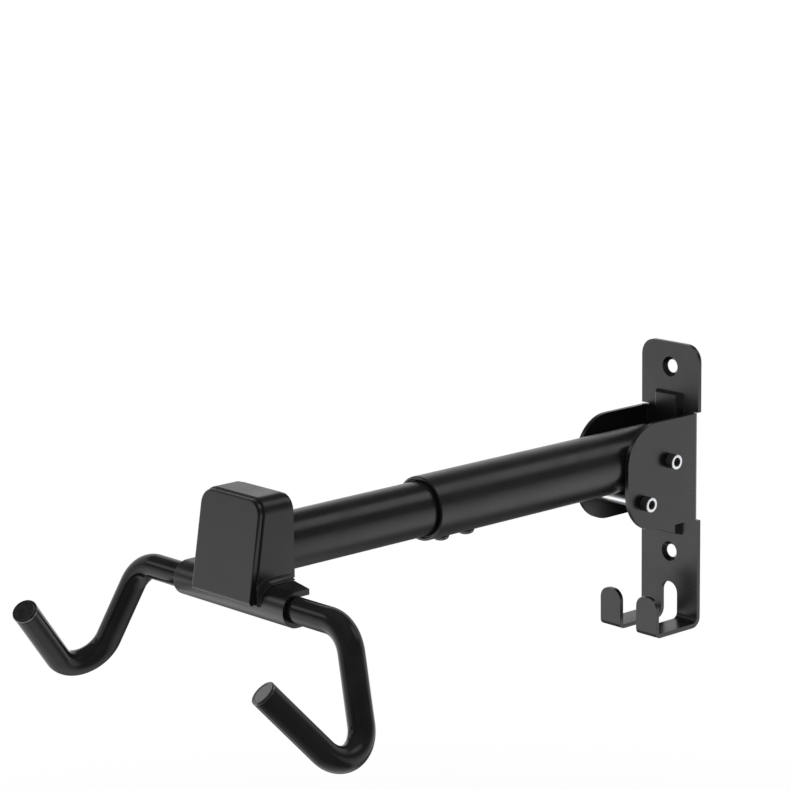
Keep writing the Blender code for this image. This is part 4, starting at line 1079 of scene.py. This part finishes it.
def cap_screw(name, solid, centre):
    """A cap screw whose end face is ground bright round the socket, the socket's floor a painted reflection.
    """
    low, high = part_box(solid)
    length = high.y - low.y
    neck = length - CAP_HEAD_DEPTH
    profile = rounded([((0, 0), 0), ((SHANK, 0), 0.4 * MM), ((SHANK, neck), 0), ((CAP_HEAD, neck), 0.3 * MM),
                       ((CAP_HEAD, length), 0.45 * MM), ((0, length), 0)], steps=4)
    piece = turned(name, profile, crosswise(centre, low.y, high.y))
    cone_end = MOUTH_DEPTH + PAST_END
    cone = [(0, 0), (MOUTH_FOOT, 0), (MOUTH_RADIUS + PAST_END, cone_end), (0, cone_end)]
    carve(piece, turned("socket_mouth", cone, crosswise(centre, high.y - MOUTH_DEPTH, high.y + PAST_END)))
    outline = [(centre.x + x, centre.z + z) for x, z in hexagon(SOCKET_WIDTH, turn=12)]
    carve(piece, slab("socket", outline, "Y", high.y - SOCKET_DEPTH, high.y + MM))
    oxide = oxide_material(name + "_oxide", (centre.x, 0, centre.z), (0, 1, 0))
    bright = zinc_material(name + "_ground_end_and_painted_socket_glint", (centre.x, 0, centre.z), (0, 1, 0))
    dress(piece, solid, "black_oxide", oxide, bright)
    for face in piece.data.polygons:
        off = math.hypot(face.center.x - centre.x, face.center.z - centre.z)
        ground_ring = face.center.y > high.y - GROUND_DEPTH and off > MOUTH_RADIUS - CLOSE
        # Painted reflection: the socket's floor gets the bright metal too, so that it looks lit.
        painted_glint_socket_floor = abs(face.center.y - high.y + SOCKET_DEPTH) < CLOSE and off < SOCKET_FLOOR
        face.material_index = int(ground_ring or painted_glint_socket_floor)


cap_screw("pivot_cap_screw", "pivot_screw", PIVOT)
cap_screw("stop_cap_screw", "stop_screw", STOP)

# %% [markdown]
# Two button head screws come up from below through the outer tube and the inner tube's slot into a bar. They
# pinch the tubes together once the arm has its length. Such heads are flatter than a ball, so the profile of
# the dome is a quarter of an ellipse.

# %% Clamp screws and bar
DOME, DOME_DEPTH = 5.5 * MM, 3 * MM
SCREW_TIP, TIP_LENGTH = 2.6 * MM, 0.4 * MM
BUTTON_SOCKET_WIDTH, BUTTON_SOCKET_DEPTH = 4 * MM, 1.8 * MM


def clamp_screw(name, solid, x):
    """A low domed screw from below, with a small hexagonal socket."""
    low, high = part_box(solid)
    length = high.z - low.z
    crown = [(DOME * math.sin(math.radians(a)), DOME_DEPTH - DOME_DEPTH * math.cos(math.radians(a)))
             for a in range(0, 91, 9)]
    profile = crown + [(SHANK, DOME_DEPTH), (SHANK, length - TIP_LENGTH), (SCREW_TIP, length), (0, length)]
    piece = turned(name, profile, [(x, 0, low.z), (x, 0, high.z)])
    outline = [(x + p, q) for p, q in hexagon(BUTTON_SOCKET_WIDTH, turn=20)]
    carve(piece, slab("socket", outline, "Z", low.z - MM, low.z + BUTTON_SOCKET_DEPTH))
    dress(piece, solid, "black_oxide", oxide_material(name + "_oxide", (x, 0, 0), (0, 0, 1)))


clamp_screw("front_clamp_screw", "clamp_screw_front", CLAMPS[1])
clamp_screw("rear_clamp_screw", "clamp_screw_rear", CLAMPS[0])
dress(softened("clamp_bar", "clamp_nut_bar", 0.3 * MM), "clamp_nut_bar", "bright_zinc",
      zinc_material("clamp_bar_zinc", (0, 0, PIVOT.z), (1, 0, 0)))

# %% [markdown]
# One stud ties the head's front to its back. Only its blackened end shows, standing proud of the rear plate
# above the arm, so that end gets the wider round.

# %% Head stud
STUD = 3.25 * MM

low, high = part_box("head_stud")
stud_z = (low.z + high.z) / 2
stud_length = high.x - low.x
stud_profile = rounded([((0, 0), 0), ((STUD, 0), 0.6 * MM), ((STUD, stud_length), 0.3 * MM),
                        ((0, stud_length), 0)], steps=4)
stud = turned("head_tie_stud", stud_profile, [(low.x, 0, stud_z), (high.x, 0, stud_z)])
dress(stud, "head_stud", "black_oxide", oxide_material("head_stud_oxide", (0, 0, stud_z), (1, 0, 0)))

# %% [markdown]
# One bent rod makes both hooks. On each side it runs out of the channel, bends down over a wide shoulder,
# turns up again at the cradle and ends pointing forward. The path is given by its corners on one side and
# mirrored for the other.

# %% Hook rod
ROD = 7 * MM
ROD_LINE = Vector((373.3 * MM, 0, 59 * MM))
CAP = 2 * MM
CAP_GAP = 0.3 * MM
BEND_STEPS = 28
HOOK_STEPS = 72


def hook_corners(side):
    """The rod's corners on one side (point, bend radius), from the shoulder to the tip."""
    return [(ROD_LINE + Vector((0, side * 95.5 * MM, 0)), 24 * MM),
            (ROD_LINE + Vector((19.3 * MM, side * 135.2 * MM, -88.2 * MM)), 19.5 * MM),
            (ROD_LINE + Vector((77.0 * MM, side * 112.1 * MM, -18.2 * MM)), 0)]


def tip_leg(side):
    """The tip of a hook and the way its last leg points."""
    tip = hook_corners(side)[-1][0]
    return tip, (tip - hook_corners(side)[-2][0]).normalized()


def rod_corners(side):
    """The corners of one hook, with the rod's end drawn back to make room for the cap."""
    tip, along = tip_leg(side)
    return hook_corners(side)[:-1] + [(tip - along * (CAP + CAP_GAP), 0)]


def path_length(path):
    """How long a path of points is."""
    return sum((b - a).length for a, b in zip(path, path[1:]))


rod_path = rounded(rod_corners(-1)[::-1] + rod_corners(1), steps=BEND_STEPS)
rod_length = path_length(rod_path)
rod_profile = rounded([((0, 0), 0), ((ROD, 0), 0.5 * MM), ((ROD, rod_length), 0.5 * MM),
                       ((0, rod_length), 0)], steps=4)
dress(turned("bent_rod", rod_profile, rod_path, HOOK_STEPS), "hook_rod", "powder_coat", powder)
print("rod length:", round(rod_length / MM), "mm")

# %% [markdown]
# The soft sleeves slide over the rod from the tips, so they follow the same line with a little more radius.
# A flat cap closes each end. It is slightly dished, which leaves the thin bright rim that such caps show.

# %% Sleeves and end caps
SLEEVE = 8 * MM
SLEEVE_START = 52 * MM
SLEEVE_PLAY = 0.3 * MM
DISH, DISH_FOOT, DISH_DEPTH = 6.4 * MM, 6.0 * MM, 0.25 * MM


def hook_sleeve(name, solid, side):
    """The sleeve on one hook, with a soft lip where it begins on the rod."""
    start = ROD_LINE + Vector((0, side * SLEEVE_START, 0))
    path = rounded([(start, 0)] + rod_corners(side), steps=BEND_STEPS)
    section = ring_profile(ROD + SLEEVE_PLAY, SLEEVE, 0, path_length(path), 0.3 * MM)
    dress(turned(name, section, path, HOOK_STEPS, closed=True), solid, "vinyl_sleeve", vinyl)


def end_cap(name, solid, side):
    """The flat disc on a hook's tip, slightly dished, with a rounded rim."""
    tip, along = tip_leg(side)
    profile = rounded([((0, 0), 0), ((SLEEVE, 0), 0.15 * MM), ((SLEEVE, CAP), 0.7 * MM),
                       ((DISH, CAP), 0.2 * MM), ((DISH_FOOT, CAP - DISH_DEPTH), 0.2 * MM),
                       ((0, CAP - DISH_DEPTH), 0)], steps=5)
    dress(turned(name, profile, [tip - along * CAP, tip]), solid, "vinyl_sleeve", cap_vinyl)


for word, side in (("left", -1), ("right", 1)):
    hook_sleeve(word + "_soft_sleeve", word + "_hook_sleeve", side)
    end_cap(word + "_tip_cap", word + "_end_cap", side)

# %% [markdown]
# At the end the size of the dressed mount is printed: dressing a piece must not make it larger.

# %% Finish
visual_size = [round((b - a) / MM, 1) for a, b in zip(*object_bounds())]
print("dressed size:", visual_size, "mm")
